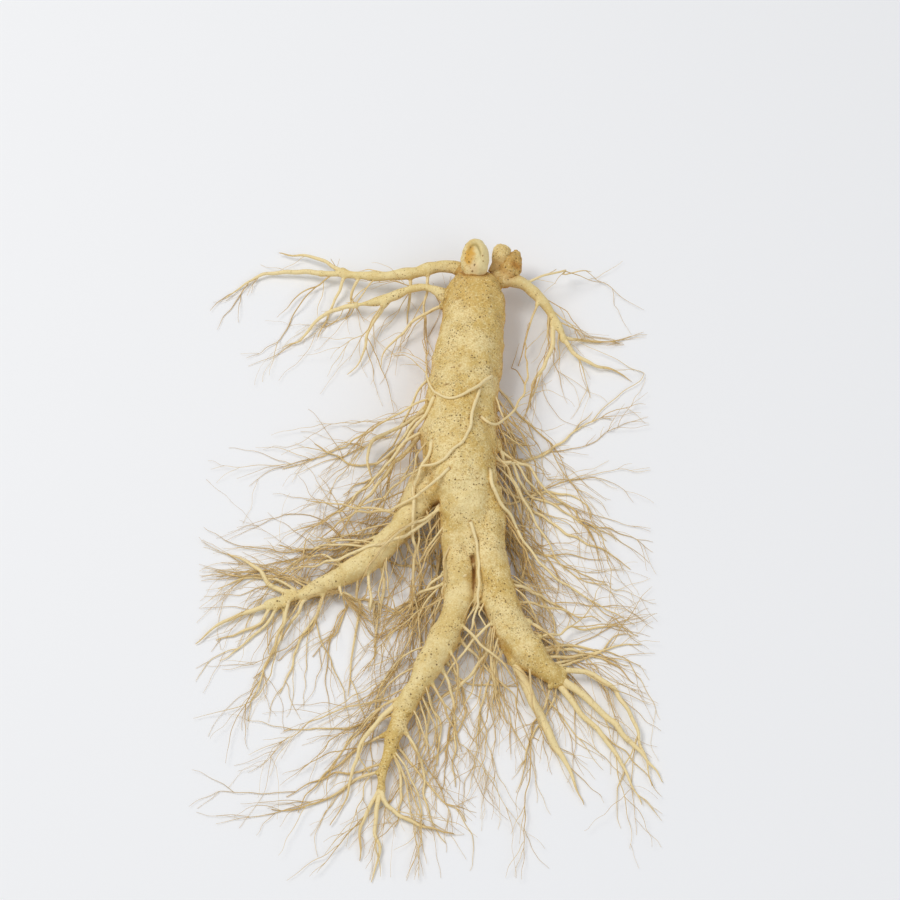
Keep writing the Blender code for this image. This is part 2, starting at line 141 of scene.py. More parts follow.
UPPER_ARM = [
    (3.0, 74, 12.0, 1.30), (-2.0, 77.5, 12.0, 1.04), (-12, 77, 11.2, 0.96), (-24, 75, 10.0, 0.94),
    (-36, 75, 8.4, 0.82), (-48, 77.5, 6.4, 0.66), (-59, 79, 4.4, 0.50),
]
LOWER_ARM = [
    (-1.0, 60, 12.0, 1.10), (-6.4, 63.5, 12.5, 0.82), (-11.5, 67, 12.4, 0.76), (-18, 68, 11.4, 0.72),
    (-26, 66, 9.6, 0.66), (-36, 63.6, 7.2, 0.58), (-44, 63, 5.2, 0.50),
]
RIGHT_ARM = [
    (12.5, 66.5, 13.4, 1.30), (17.8, 69.2, 14.6, 1.04), (24.8, 69.0, 13.4, 0.92), (31, 65.4, 11.4, 0.84),
    (36.2, 59.6, 9.4, 0.76), (40, 53.0, 7.0, 0.62), (43.2, 47, 4.8, 0.48),
]
LARGE_BUD = [
    (5.8, 68.3, 19.8, 0.64), (6.0, 70.9, 20.8, 0.90), (6.2, 74.5, 22.0, 1.00), (6.4, 78.0, 23.2, 0.93),
    (6.5, 80.6, 24.0, 0.74), (6.6, 82.2, 24.5, 0.48), (6.6, 83.2, 24.8, 0.18),
]
SMALL_BUD = [
    (14.0, 73.5, 13.2, 0.75), (15.8, 77.0, 14.6, 0.82), (16.8, 79.8, 15.6, 1.04), (17.2, 81.8, 16.1, 1.10),
    (17.4, 83.6, 16.5, 0.98), (17.5, 84.8, 16.8, 0.70), (17.6, 85.4, 17.0, 0.26),
]
STUMP = [
    (11.0, 68.0, 12.4, 1.10), (15.5, 70.5, 13.0, 1.16), (19.4, 72.8, 13.8, 1.30), (21.1, 76.0, 14.4, 1.22),
    (22.2, 79.2, 14.6, 0.98), (22.9, 82.0, 14.4, 0.68), (23.2, 84.4, 14.2, 0.26),
]
GROWN_ROOTS = [
    (BODY, BODY_RADIUS), (LEFT_LEG, LEFT_LEG_RADIUS), (RIGHT_LEG, RIGHT_LEG_RADIUS),
    (SIDE_LEG, SIDE_LEG_RADIUS), (UPPER_ARM, ARM_RADIUS), (LOWER_ARM, ARM_RADIUS), (RIGHT_ARM, ARM_RADIUS),
]
CROWN_PARTS = [(LARGE_BUD, BUD_RADIUS), (SMALL_BUD, KNOB_RADIUS), (STUMP, KNOB_RADIUS)]
THICK_ROOTS = GROWN_ROOTS + CROWN_PARTS
print(len(GROWN_ROOTS), "thick roots and", len(CROWN_PARTS), "parts of the crown")

# %% [markdown]
# ## The rootlets with a place of their own
#
# Some rootlets are so plain to see that they belong where they are: one ties round the belly like a
# belt, one runs over it like a sash, and the toes fan out from each leg's end. A rule would strew
# them anywhere, so they are listed one by one, from the skin to the tip. The first station of each is
# sunk in its root.

# %% The rootlets with a place of their own
ROOTLETS = {
    "belt": [
        (11, 20, 21.5, 1.0), (6.8, 12.7, 27.8, 0.85), (1.6, 8, 29.0, 0.75), (-4, 7, 28.4, 0.7),
        (-8, 9.6, 26.2, 0.65), (-11.4, 15, 22, 0.6), (-13.6, 25, 16, 0.55), (-13.6, 32, 13, 0.5),
        (-12.4, 40, 10, 0.45),
    ],
    "sash": [
        (7.2, 12, 25.5, 0.9), (5.2, 2, 28.4, 0.8), (3.2, -9, 29.1, 0.8), (-3.6, -18.5, 29.2, 0.75),
        (-8.6, -21.5, 27.4, 0.75), (-14.8, -21, 22.5, 0.7), (-24.4, -24.5, 14.5, 0.6),
        (-34, -29.4, 8, 0.55), (-44, -31, 4.5, 0.5), (-54, -33, 2.2, 0.4),
    ],
    "drop": [
        (-9.8, -10, 23.5, 1.0), (-12.4, -16.5, 23.6, 0.95), (-16.4, -23, 21.0, 0.95),
        (-18.6, -31, 18.8, 0.9), (-18.6, -40, 17.6, 0.9), (-18, -50, 12, 0.8), (-18.4, -62, 6.2, 0.7),
        (-19.6, -73, 3.4, 0.6), (-24, -80, 2.2, 0.5), (-34, -90, 1.2, 0.4),
    ],
    "right_hip": [
        (10.4, -22, 21.5, 1.0), (12.6, -29.5, 22.4, 0.95), (16.4, -35, 18, 0.9), (22, -41, 11, 0.8),
        (28, -51, 6.8, 0.7), (36, -60, 4.6, 0.65), (47, -67, 3, 0.55), (60, -75, 1.6, 0.45),
        (69, -80, 1.0, 0.4),
    ],
    "right_flank": [
        (13, -4, 15, 0.9), (16.8, -10.5, 12.6, 0.75), (20, -19, 9.6, 0.7), (25, -27, 7, 0.65),
        (30, -36, 4.8, 0.55), (35.6, -46, 3, 0.5), (41, -57, 1.4, 0.4),
    ],
    "loop": [
        (8, 0.5, 24, 0.9), (11.8, -2.6, 24.6, 0.75), (15.2, -1.2, 21.8, 0.7), (19, 4, 18.4, 0.65),
        (24, 13, 14.8, 0.6), (27.6, 27, 11.6, 0.5), (27, 41, 8.2, 0.45), (27.6, 52, 4.6, 0.4),
    ],
    "left_flank_high": [
        (-8.8, 10, 22.5, 1.1), (-12.8, 4, 20.5, 0.95), (-18, 0, 16.6, 0.9), (-25.6, -9.5, 11, 0.8),
        (-33, -17, 7.6, 0.7), (-43, -27, 4.6, 0.6), (-55, -35.5, 2.4, 0.5), (-66, -39, 1.0, 0.4),
    ],
    "left_flank_low": [
        (-12.6, 9, 16, 1.0), (-18.8, 5, 14, 0.8), (-26, 2, 11, 0.75), (-35, -1, 7.6, 0.7),
        (-37, -8, 5, 0.6), (-35, -16, 2.8, 0.5), (-33, -24, 1.2, 0.4),
    ],
    "left_hip": [
        (-13, 1, 14, 1.1), (-19.6, -5.6, 11.2, 0.95), (-27, -13, 7.8, 0.85), (-34, -21.6, 4.8, 0.7),
        (-42, -31, 2.4, 0.55), (-49, -42, 1.1, 0.4),
    ],
    "ribbon": [
        (-4, -24, 26.8, 0.9), (-9.6, -29, 25.6, 0.8), (-15, -31, 21, 0.75), (-20, -34, 18.6, 0.75),
        (-29, -35, 14, 0.65), (-39, -33, 9, 0.6), (-50, -28.5, 5, 0.5), (-62, -25, 2, 0.4),
    ],
    "crotch": [
        (-7.4, -34, 14.6, 1.1), (-12.4, -41, 16.2, 0.95), (-18.4, -46, 15.9, 0.9),
        (-26.4, -49.6, 14.2, 0.85), (-39, -52.4, 11.8, 0.75), (-52, -56, 7.8, 0.65),
        (-64, -57, 4.2, 0.5), (-77, -59.6, 1.6, 0.4),
    ],
    "between_legs": [
        (4.2, -44, 19.4, 1.0), (6.4, -52, 17.6, 0.8), (7.2, -61, 15.8, 0.75), (7.4, -71, 14.2, 0.7),
        (6.4, -79, 11.2, 0.65), (3, -87, 7.6, 0.55), (-2, -92, 4.4, 0.5), (-7, -99, 2.0, 0.4),
    ],
    "inner_calf": [
        (13.6, -80, 5.6, 1.0), (11.2, -88, 4.2, 0.8), (9, -95, 3.2, 0.75), (2, -104.6, 2.4, 0.65),
        (-6, -111, 1.7, 0.55), (-11, -120, 1.0, 0.4),
    ],
    "heel": [
        (18.6, -88, 5.4, 2.1), (24, -104, 4.2, 2.0), (31, -119, 3.2, 1.8), (37, -132, 2.4, 1.4),
        (42.6, -143, 1.8, 1.0), (47, -156, 1.0, 0.6),
    ],
    "toe_right_high": [
        (37, -101.6, 5.0, 1.3), (44, -101.6, 5.2, 1.1), (52, -103.4, 4.6, 1.0), (60.4, -110, 3.8, 0.9),
        (66.6, -121, 2.8, 0.75), (70.6, -135, 1.8, 0.6), (73, -148, 1.0, 0.4),
    ],
    "toe_right_mid": [
        (37.6, -103.6, 4.4, 1.8), (50, -113.6, 3.6, 1.4), (61, -125.4, 2.8, 1.15),
        (71, -136.6, 2.0, 0.85), (78, -147, 1.0, 0.5),
    ],
    "toe_right_low": [
        (36, -103, 3.4, 1.6), (46, -117, 2.8, 1.15), (55, -127, 2.2, 0.95), (63, -141, 1.5, 0.7),
        (69, -156, 0.9, 0.4),
    ],
    "toe_left_out": [
        (-30.4, -150, 2.6, 1.1), (-28.6, -156, 2.4, 0.9), (-20.8, -162, 1.8, 0.75),
        (-12, -165.6, 1.3, 0.55), (-2, -168, 0.9, 0.4),
    ],
    "toe_left_mid": [
        (-30.6, -149, 2.4, 1.2), (-31.8, -158, 2.0, 0.9), (-32.6, -166, 1.5, 0.75),
        (-31, -176, 1.1, 0.55), (-34, -187, 0.8, 0.4),
    ],
    "toe_left_in": [
        (-30.2, -148, 2.2, 1.0), (-34, -156, 1.8, 0.75), (-38, -166, 1.4, 0.6), (-38.6, -178, 0.9, 0.4),
    ],
    "shin_left": [
        (-20.4, -112, 6.4, 1.4), (-30, -121, 5.0, 1.0), (-37, -128.6, 3.6, 0.9),
        (-40.6, -139, 2.4, 0.7), (-43.4, -152, 1.4, 0.5), (-50, -164, 0.8, 0.35),
    ],
    "side_toe_far": [
        (-73, -71.4, 2.6, 1.25), (-84, -75.4, 2.0, 0.9), (-94, -80, 1.4, 0.65), (-104, -88, 0.8, 0.4),
    ],
    "side_toe_high": [
        (-66, -69, 3.2, 1.2), (-75, -62.6, 2.8, 0.95), (-83, -54, 2.0, 0.7), (-93, -48.6, 1.2, 0.5),
    ],
    "side_toe_near": [
        (-58, -67, 3.4, 1.2), (-61, -70.4, 3.0, 0.8), (-65, -77, 2.2, 0.65), (-70, -87, 1.1, 0.4),
    ],
    "upper_arm_tip": [
        (-57, 78.8, 4.8, 1.15), (-70, 81, 3.2, 0.95), (-80, 80, 2.0, 0.7), (-89, 76, 1.2, 0.5),
        (-97, 69, 0.8, 0.35),
    ],
    "upper_arm_fork": [
        (-46, 77, 6.8, 1.1), (-54, 83, 5.4, 0.8), (-64, 88, 3.4, 0.6), (-76, 90, 1.4, 0.4),
    ],
    "lower_arm_tip": [
        (-42, 63, 5.6, 1.1), (-50, 62.4, 4.0, 0.9), (-58, 58, 2.8, 0.7), (-64, 50, 1.8, 0.55),
        (-73, 46, 1.0, 0.4),
    ],
    "lower_arm_fork": [
        (-30, 65, 8.6, 1.0), (-33, 58, 6.4, 0.75), (-38, 50, 4.2, 0.6), (-40, 40, 2.0, 0.45),
        (-46, 33, 0.9, 0.35),
    ],
    "right_arm_tip": [
        (42, 48.4, 5.4, 1.1), (47, 42, 4.0, 0.9), (53, 37, 2.8, 0.7), (61, 35, 1.8, 0.55),
        (70, 30, 1.0, 0.4),
    ],
    "right_arm_fork": [
        (38, 53.6, 7.0, 1.2), (38, 44, 5.4, 0.95), (34.6, 36, 4.0, 0.8), (30, 27, 2.6, 0.6),
        (29, 17, 1.2, 0.4),
    ],
    "neck_hair": [
        (-3.0, 60.5, 11.0, 1.0), (-8, 59.6, 10.2, 0.75), (-15, 57, 8.4, 0.65), (-23, 50, 6, 0.55),
        (-30, 44, 3, 0.45), (-33, 36, 1.0, 0.35),
    ],
}
placed = [[(x, y, z, share * ROOTLET_RADIUS) for x, y, z, share in route] for route in ROOTLETS.values()]
print(len(placed), "rootlets laid by hand")

# %% [markdown]
# ## The strewn rootlets
#
# Between those, a root grows rootlets wherever the soil lets it. Laid by hand, so many would take
# days and still look combed, so a rule strews them. Each leaves the flank of its root, wavers, turns
# down the root as it grew, and sags to the surface. Balls along the thick roots push it out wherever
# it would run into one. The draws are seeded, so that these are the same rootlets that the plain
# solid has, and the finer ones added later grow between them.

# %% Balls that fill the thick roots
BALL_SPACING = 2.0


def balls_of(roots):
    """Centres and radii of balls that follow one another along each root."""
    balls = []
    for stations, radius in roots:
        for (xa, ya, za, ra), (xb, yb, zb, rb) in zip(stations, stations[1:]):
            a, b = Vector((xa, ya, za)), Vector((xb, yb, zb))
            count = max(2, int((b - a).length / BALL_SPACING))
            for step in range(count):
                part = step / count
                balls.append((a.lerp(b, part), radius * (ra + (rb - ra) * part)))
    return balls


balls = balls_of(THICK_ROOTS)
print(len(balls), "balls")

# %% The rule that strews rootlets
ROOTLET_SEED, ROOTLET_COUNT, ROOTLET_STEP = 7, 90, 10.0
TURN, TURN_KEPT, DOWNSTREAM, SAG, THINNING = 0.17, 0.55, 0.15, 0.30, 0.62
START_SHARE, SUNK, FORWARD, FLOOR_GAP = 0.8, 0.6, 0.4, 0.2
LOWEST_TURN, HIGHEST_TURN = -0.5, 0.5
REACH_LOW, REACH_HIGH = (-103.0, -185.0), (77.0, 88.0)


def outward(rng, along, highest):
    """A random direction square to a root's own, from its flanks up to highest radians above them."""
    side = along.cross(Vector((0, 0, 1))).normalized()
    up = side.cross(along).normalized()
    turn = rng.uniform(LOWEST_TURN, highest)
    return (side * rng.choice((-1, 1)) * math.cos(turn) + up * math.sin(turn)).normalized()


def wander(rng, start, heading, along, length, radius):
    """Stations of a rootlet that grows out along heading, turns slowly down the root and sags."""
    count = max(3, round(length / ROOTLET_STEP))
    step = length / count
    place, direction, turn = start.copy(), heading.copy(), Vector()
    stations = [(*place, radius)]
    for number in range(1, count + 1):
        turn = turn * TURN_KEPT + Vector([rng.gauss(0, 1) for _ in range(3)]) * TURN
        pull = along * DOWNSTREAM - Vector((0, 0, SAG * math.sqrt(number)))
        direction = (direction + turn + pull).normalized()
        place = place + direction * step
        thick = radius * (1.0 - THINNING * number / count)
        for centre, reach in balls:
            gap = place - centre
            if 0 < gap.length < reach + radius and number > 1:
                place = centre + gap.normalized() * (reach + radius)
        if place.z < thick + FLOOR_GAP:
            place.z = thick + FLOOR_GAP
            direction.z = 0.0
        if not all(low < x < high for x, low, high in zip(place, REACH_LOW, REACH_HIGH)):
            break
        stations.append((*place, thick))
    return stations


# %% Strew the rootlets
STREWN_SIZES, FEWEST_STATIONS = (1.0, 1.7), 4

# Each row: the root and its radius, the first and last station with rootlets, a share, and two lengths.
ROOTLET_HOSTS = [
    (BODY, BODY_RADIUS, 5, 11, 18, 50, 84),
    (LEFT_LEG, LEFT_LEG_RADIUS, 2, 10, 17, 34, 66),
    (RIGHT_LEG, RIGHT_LEG_RADIUS, 2, 8, 13, 34, 66),
    (SIDE_LEG, SIDE_LEG_RADIUS, 2, 8, 14, 30, 60),
    (UPPER_ARM, ARM_RADIUS, 1, 6, 3, 20, 34),
    (RIGHT_ARM, ARM_RADIUS, 1, 6, 2, 20, 34),
]


def strew_rootlets():
    """The rootlets along the lower body, the legs and the arms, as lists of stations."""
    rng = random.Random(ROOTLET_SEED)
    found = []
    total = sum(share for _, _, _, _, share, _, _ in ROOTLET_HOSTS)
    for stations, radius, first, last, share, shortest, longest in ROOTLET_HOSTS:
        count = round(ROOTLET_COUNT * share / total)
        for number in range(count):
            along = first + (last - first) * (number + rng.random()) / count
            low = min(int(along), len(stations) - 2)
            part = along - low
            a, b = Vector(stations[low][:3]), Vector(stations[low + 1][:3])
            here = a.lerp(b, part)
            thick = radius * (stations[low][3] * (1 - part) + stations[low + 1][3] * part)
            flow = (b - a).normalized()
            heading = outward(rng, flow, HIGHEST_TURN)
            start = here + heading * max(0.0, thick * START_SHARE - SUNK)
            length = rng.uniform(shortest, longest)
            size = FINE_RADIUS * rng.uniform(*STREWN_SIZES)
            ahead = (heading + flow * FORWARD).normalized()
            route = wander(rng, start, ahead, flow, length, size)
            if len(route) >= FEWEST_STATIONS:
                found.append(route)
    return found


strewn = strew_rootlets()
print(len(strewn), "rootlets strewn")

# %% [markdown]
# ## From routes to meshes
#
# A curve with a round bevel makes a tapering tube of any route, because each of its points carries a
# radius. One curve object holds hundreds of splines, and one convert turns them all to a mesh, which
# is far quicker than an object for each. The caps of the tubes come loose, so they are merged on.

# %% Tubes along routes
MERGE_WITHIN = 0.002 * MM


def choose(piece):
    """Makes a piece the only one selected, and the active one."""
    bpy.ops.object.select_all(action="DESELECT")
    piece.select_set(True)
    bpy.context.view_layer.objects.active = piece


def tubes(name, routes, sides, steps=0):
    """One mesh of closed tapering tubes. With steps, each route is a smooth Bezier curve."""
    data = bpy.data.curves.new(name, "CURVE")
    data.dimensions = "3D"
    data.bevel_depth = MM
    data.bevel_resolution = (sides - 4) // 2
    data.use_fill_caps = True
    data.resolution_u = max(1, steps)
    for route in routes:
        spline = data.splines.new("BEZIER" if steps else "POLY")
        points = spline.bezier_points if steps else spline.points
        points.add(len(route) - 1)
        for point, (x, y, z, radius) in zip(points, route):
            point.co = (x * MM, y * MM, z * MM) if steps else (x * MM, y * MM, z * MM, 1.0)
            point.radius = radius
            if steps:
                point.handle_left_type = point.handle_right_type = "AUTO"
    piece = bpy.data.objects.new(name, data)
    bpy.context.scene.collection.objects.link(piece)
    choose(piece)
    bpy.ops.object.convert(target="MESH")
    bpy.ops.object.mode_set(mode="EDIT")
    bpy.ops.mesh.select_all(action="SELECT")
    bpy.ops.mesh.remove_doubles(threshold=MERGE_WITHIN)
    bpy.ops.mesh.normals_make_consistent(inside=False)
    bpy.ops.object.mode_set(mode="OBJECT")
    return piece


def finish_with(piece, kind, **settings):
    """Adds a modifier with these settings and applies it at once."""
    choose(piece)
    modifier = piece.modifiers.new(kind.lower(), kind)
    for name, value in settings.items():
        setattr(modifier, name, value)
    bpy.ops.object.modifier_apply(modifier=modifier.name)


print("tubes are ready")

# %% [markdown]
# ## Smooth routes with small kinks
#
# Real rootlets are never as smooth as a bent wire: stones and clay made them jog every few
# millimetres. So a route is first read as a smooth curve through its stations, with a point every
# millimetre or two, and each point is then shifted by smooth noise that fades in from the base.
# The noise is a sum of waves in random directions, which numpy works out for all points at once.
# Blender's Displace could shift the mesh instead, but it would dent a thin strand and not bend it.

# %% Smooth noise and smooth routes
def ripple(points, wavelength, seed, waves=9):
    """Smooth seeded noise, mostly from -1 to 1, at points given in millimetres."""
    rng = np.random.default_rng(seed)
    directions = rng.normal(size=(waves, 3))
    directions /= np.linalg.norm(directions, axis=1)[:, None]
    lengths = wavelength * rng.uniform(0.7, 1.5, waves)
    turns = np.asarray(points) @ (directions / lengths[:, None]).T * 2 * math.pi
    return np.sin(turns + rng.uniform(0, 2 * math.pi, waves)).sum(axis=1) / math.sqrt(waves)


def smooth_route(stations, step):
    """Points about every step millimetres on a smooth curve through the stations."""
    s = np.array(stations, float)
    ends = np.vstack([2 * s[0] - s[1], s, 2 * s[-1] - s[-2]])
    found = []
    for a, b, c, d in zip(ends, ends[1:], ends[2:], ends[3:]):
        count = max(1, round(np.linalg.norm((c - b)[:3]) / step))
        for t in np.arange(count) / count:
            bend = (2 * a - 5 * b + 4 * c - d) * t * t + (3 * b - a - 3 * c + d) * t ** 3
            found.append(0.5 * (2 * b + (c - a) * t + bend))
    return np.array(found + [s[-1]])


def pointed(route, stretch, tip):
    """The route with its last stretch, a share of its points, thinned to a tip of that radius."""
    left = np.clip((len(route) - 1 - np.arange(len(route))) / (stretch * len(route)), 0, 1)
    route = route.copy()
    route[:, 3] = tip + (route[:, 3] - tip) * left ** 0.7
    return route


KINK_SIZE, KINK_WAVELENGTH, KINK_FADE = 0.42, 9.0, 0.3


def kinked(route, seed):
    """The route with each point shifted by noise that fades in over its first stretch."""
    route = route.copy()
    places = route[:, :3]
    shift = np.stack([ripple(places, KINK_WAVELENGTH, seed + axis) for axis in range(3)], axis=1)
    fade = np.clip(np.arange(len(route)) / (KINK_FADE * len(route)), 0, 1)[:, None]
    route[:, :3] = places + shift * KINK_SIZE * fade
    route[:, 2] = np.maximum(route[:, 2], route[:, 3] + FLOOR_GAP)
    return route


ROUTE_STEP, FINE_END, FINE_TIP = 1.6, 0.35, 0.14
main_rootlets = []
for number, route in enumerate(placed + strewn):
    route = kinked(smooth_route(route, ROUTE_STEP), 10 * number)
    main_rootlets.append(pointed(route, FINE_END, FINE_TIP))
print(sum(len(route) for route in main_rootlets), "points on", len(main_rootlets), "rootlets")

# %% [markdown]
# ## The main root
#
# Where one root leaves another there is no seam: the flesh flows over. A Boolean union would leave a
# crease there, so the tubes are melted instead. A voxel remesh turns everything that overlaps into one
# skin, and a smooth pass rounds the joins. The base of each rootlet goes in too, flared like a
# trumpet, so that it swells out of the skin instead of sticking in it like a pin. A few thin ones
# break through the skin as plain threads and lie on it, so they are slimmer and have no flare. Low in
# the gap where the two long legs part lies a web of skin, which the plain solid leaves open. Crumbs
# that don't hang together with the skin are deleted, and a cloudy texture swells it into soft lumps.

# %% Flared bases for the rootlets
ball_places = np.array([tuple(centre) for centre, _ in balls])
ball_radii = np.array([reach for _, reach in balls])
FLARE_SIZE, FLARE_NARROWS, FLARE_LENGTH, FLARE_HEIGHT = 0.55, 0.45, 4.0, 2.0
NEARLY_OUT = -0.3
ON_SKIN = (
    "belt", "sash", "drop", "right_hip", "loop", "left_flank_high", "ribbon", "crotch", "between_legs",
)
THREAD_SLIM = 0.78
threads = [list(ROOTLETS).index(name) for name in ON_SKIN]
for number in threads:
    main_rootlets[number][:, 3] *= THREAD_SLIM


def height_over_roots(points):
    """How far points stand outside the thick roots, in millimetres, negative inside."""
    gaps = np.linalg.norm(np.asarray(points)[:, None, :] - ball_places[None], axis=2)
    return (gaps - ball_radii).min(axis=1)


def run_outside(route):
    """Each point's height over the thick roots, and how far past the skin it lies on the rootlet."""
    height = height_over_roots(route[:, :3])
    travelled = np.append(0.0, np.linalg.norm(np.diff(route[:, :3], axis=0), axis=1).cumsum())
    return height, travelled - travelled[np.argmax(height > NEARLY_OUT)]


def flare(route):
    """The first stretch of a rootlet, swollen where it leaves the skin and thin where it ends."""
    height, outside = run_outside(route)
    count = max(4, int(np.argmax((outside > FLARE_LENGTH) | (height > FLARE_HEIGHT))))
    base = route[:count].copy()
    share = np.clip(outside[:count] / FLARE_LENGTH, 0, 1)
    base[:, 3] *= 1.0 + FLARE_SIZE * (1 - share) ** 3 - FLARE_NARROWS * share
    return base


flares = [flare(route) for number, route in enumerate(main_rootlets) if number not in threads]
print(len(flares), "flared bases")

# %% Melt the thick roots into one skin
VOXEL = 0.56 * MM
SMOOTHING, SMOOTHING_GIVES_BACK = 9, 0.12
CROTCH_WEB = [(5.0, -55, 7.6, 3.2), (5.6, -64, 7.4, 3.2), (6.2, -71, 6.8, 2.6), (6.4, -76, 6.0, 1.0)]

thick_routes = [
    [(x, y, z, share * radius) for x, y, z, share in stations] for stations, radius in GROWN_ROOTS
]
main = tubes("main_root", thick_routes + [CROTCH_WEB], sides=32, steps=10)
bases = tubes("rootlet_bases", flares, sides=8)
choose(main)
bases.select_set(True)
bpy.ops.object.join()
finish_with(main, "REMESH", mode="VOXEL", voxel_size=VOXEL)
finish_with(main, "SMOOTH", factor=0.5, iterations=SMOOTHING)
finish_with(main, "DISPLACE", strength=SMOOTHING_GIVES_BACK * MM, mid_level=0.0)
print("main root has", len(main.data.vertices), "points")

# %% Keep the one connected skin
choose(main)
bpy.ops.object.mode_set(mode="EDIT")
bpy.ops.mesh.select_mode(type="VERT")
bpy.ops.mesh.select_all(action="DESELECT")
bpy.ops.object.mode_set(mode="OBJECT")
max(main.data.vertices, key=lambda point: point.co.z).select = True
bpy.ops.object.mode_set(mode="EDIT")
bpy.ops.mesh.select_linked()
bpy.ops.mesh.select_all(action="INVERT")
bpy.ops.mesh.delete(type="VERT")
bpy.ops.object.mode_set(mode="OBJECT")
print("without loose crumbs", len(main.data.vertices), "points")

# %% Broad lumps
LUMP_SIZE, LUMP_DEPTH = 11.0, 3.0
lumps = bpy.data.textures.new("lumps", "CLOUDS")
lumps.noise_scale = LUMP_SIZE * MM
lumps.noise_depth = 1
finish_with(main, "DISPLACE", texture=lumps, strength=LUMP_DEPTH * MM)
print("the skin swells by up to", round(LUMP_DEPTH * 0.5, 1), "mm")

# %% [markdown]
# ## Creases, scars and furrows
#
# A ginseng root pulls itself deeper each year, and its skin folds across it like a sleeve pushed up
# an arm. These creases run round the root, so they can't come from noise that is alike in all
# directions. For each point of the skin the nearest thick root is found, with how far down it the
# point lies and how far off its middle line. Noise in those measures, squeezed along the root and
# stretched round it, makes creases that follow every bend. Sculpting them by hand would look as
# good, but it would have to be done again each time the root's shape is corrected.

# %% Find each point's own root
ROOT_SHIFT, COARSE_STEP, ROUND_STRETCH, FAR_AWAY = 100.0, 4.0, 3.2, 1e9


def points_of(piece):
    """A piece's points in millimetres, as an array."""
    found = np.empty(len(piece.data.vertices) * 3, np.float32)
    piece.data.vertices.foreach_get("co", found)
    return found.reshape(-1, 3).astype(float) / MM


def normals_of(piece):
    """The direction that each of a piece's points faces, as an array."""
    found = np.empty(len(piece.data.vertices) * 3, np.float32)
    piece.data.vertices.foreach_get("normal", found)
    return found.reshape(-1, 3).astype(float)


def own_root(points, roots):
    """For each point: distance down its root, offset from the middle line, radius, and lead.

    The lead says by how many millimetres a point's own root is nearer than the next one. Each root's
    distance starts ROOT_SHIFT after the last one's, which tells the roots apart. The last stretch of a
    root that is longer than this counts with the next root."""
    best = np.full(len(points), FAR_AWAY)
    second = best.copy()
    down, radius, offset = np.zeros(len(points)), np.zeros(len(points)), np.zeros((len(points), 3))
    for number, (stations, thickest) in enumerate(roots):
        near = np.full(len(points), FAR_AWAY)
        near_down, near_radius, near_offset = down.copy(), radius.copy(), offset.copy()
        travelled = 0.0
        for (xa, ya, za, ra), (xb, yb, zb, rb) in zip(stations, stations[1:]):
            a, line = np.array([xa, ya, za]), np.array([xb - xa, yb - ya, zb - za])
            length = np.linalg.norm(line)
            t = np.clip((points - a) @ line / length ** 2, 0, 1)
            off = points - (a + t[:, None] * line)
            thick = thickest * (ra + (rb - ra) * t)
            gap = np.linalg.norm(off, axis=1) - thick
            hit = gap < near
            near[hit], near_down[hit] = gap[hit], travelled + t[hit] * length
            near_radius[hit], near_offset[hit] = thick[hit], off[hit]
            travelled += length
        nearer = near < best
        second = np.where(nearer, best, np.minimum(second, near))
        best[nearer] = near[nearer]
        down[nearer], radius[nearer] = near_down[nearer] + ROOT_SHIFT * number, near_radius[nearer]
        offset[nearer] = near_offset[nearer]
    return down, offset, radius, second - best


skin = points_of(main)
smooth_roots = [(smooth_route(stations, COARSE_STEP), thickest) for stations, thickest in GROWN_ROOTS]
down, offset, radius, lead = own_root(skin, smooth_roots)
grain = offset / ROUND_STRETCH
grain[:, 1] += down + 0.9 * ripple(skin, 9, 8) + 0.35 * ripple(skin, 3.5, 9)
print("the skin belongs to", len(np.unique(down // ROOT_SHIFT)), "roots")

# %% Smooth steps and bells
def bell(values, width):
    """1 where a value is 0, falling smoothly away over a width."""
    return np.exp(-(values / width) ** 2)


def between(values, low, high):
    """0 below low, 1 above high and smooth between."""
    t = np.clip((values - low) / (high - low), 0, 1)
    return t * t * (3 - 2 * t)


on_body = down < ROOT_SHIFT
alone = np.clip(between(lead, 0.2, 3.0) + on_body * 0.5, 0, 1)
shoulder = np.where(on_body, between(-down, -34, -6), 0.0)
print(int((shoulder > 0.5).sum()), "points on the shoulders")

# %% Press in the creases
patches = between(ripple(skin, 22, 3), -0.3, 0.9)
calm = between(radius, 1.0, 5.0)
folds = np.maximum(ripple(grain, 2.6, 11), 0) ** 1.5 * (0.10 + 0.24 * shoulder + 0.10 * patches)
fine_folds = np.abs(ripple(grain, 1.5, 12)) * (0.03 + 0.15 * shoulder)
grainy = ripple(skin, 3.0, 13) * 0.05 + ripple(skin, 1.3, 14) * 0.022
depth = (folds + fine_folds) * alone * calm - grainy * calm
print("deepest crease", round(float(depth.max()), 2), "mm")

# %% Cut a few longer furrows
FURROWS, FURROW_SEED = 18, 5
THINNEST_FURROWED, FURROW_START, FURROW_WIDTHS, FURROW_DEPTH = 3.0, 14, (1.5, 4.0), 0.26
furrow_rng = np.random.default_rng(FURROW_SEED)
furrow_marks = np.zeros(len(skin))
for _ in range(FURROWS):
    here = furrow_rng.integers(len(skin))
    if radius[here] < THINNEST_FURROWED or down[here] % ROOT_SHIFT < FURROW_START:
        continue
    drop = down - down[here] - 0.5 * np.sin((offset - offset[here]) @ furrow_rng.normal(size=3) / 2.5)
    across = np.linalg.norm(offset - offset[here], axis=1)
    mark = bell(drop, 0.34) * bell(across, furrow_rng.uniform(*FURROW_WIDTHS))
    furrow_marks = np.maximum(furrow_marks, mark)
furrow_marks *= between(ripple(skin, 2.4, 15), -0.9, 0.6)
depth += FURROW_DEPTH * furrow_marks
print("deepest furrow", round(float(depth[furrow_marks > 0.5].max()), 2), "mm")

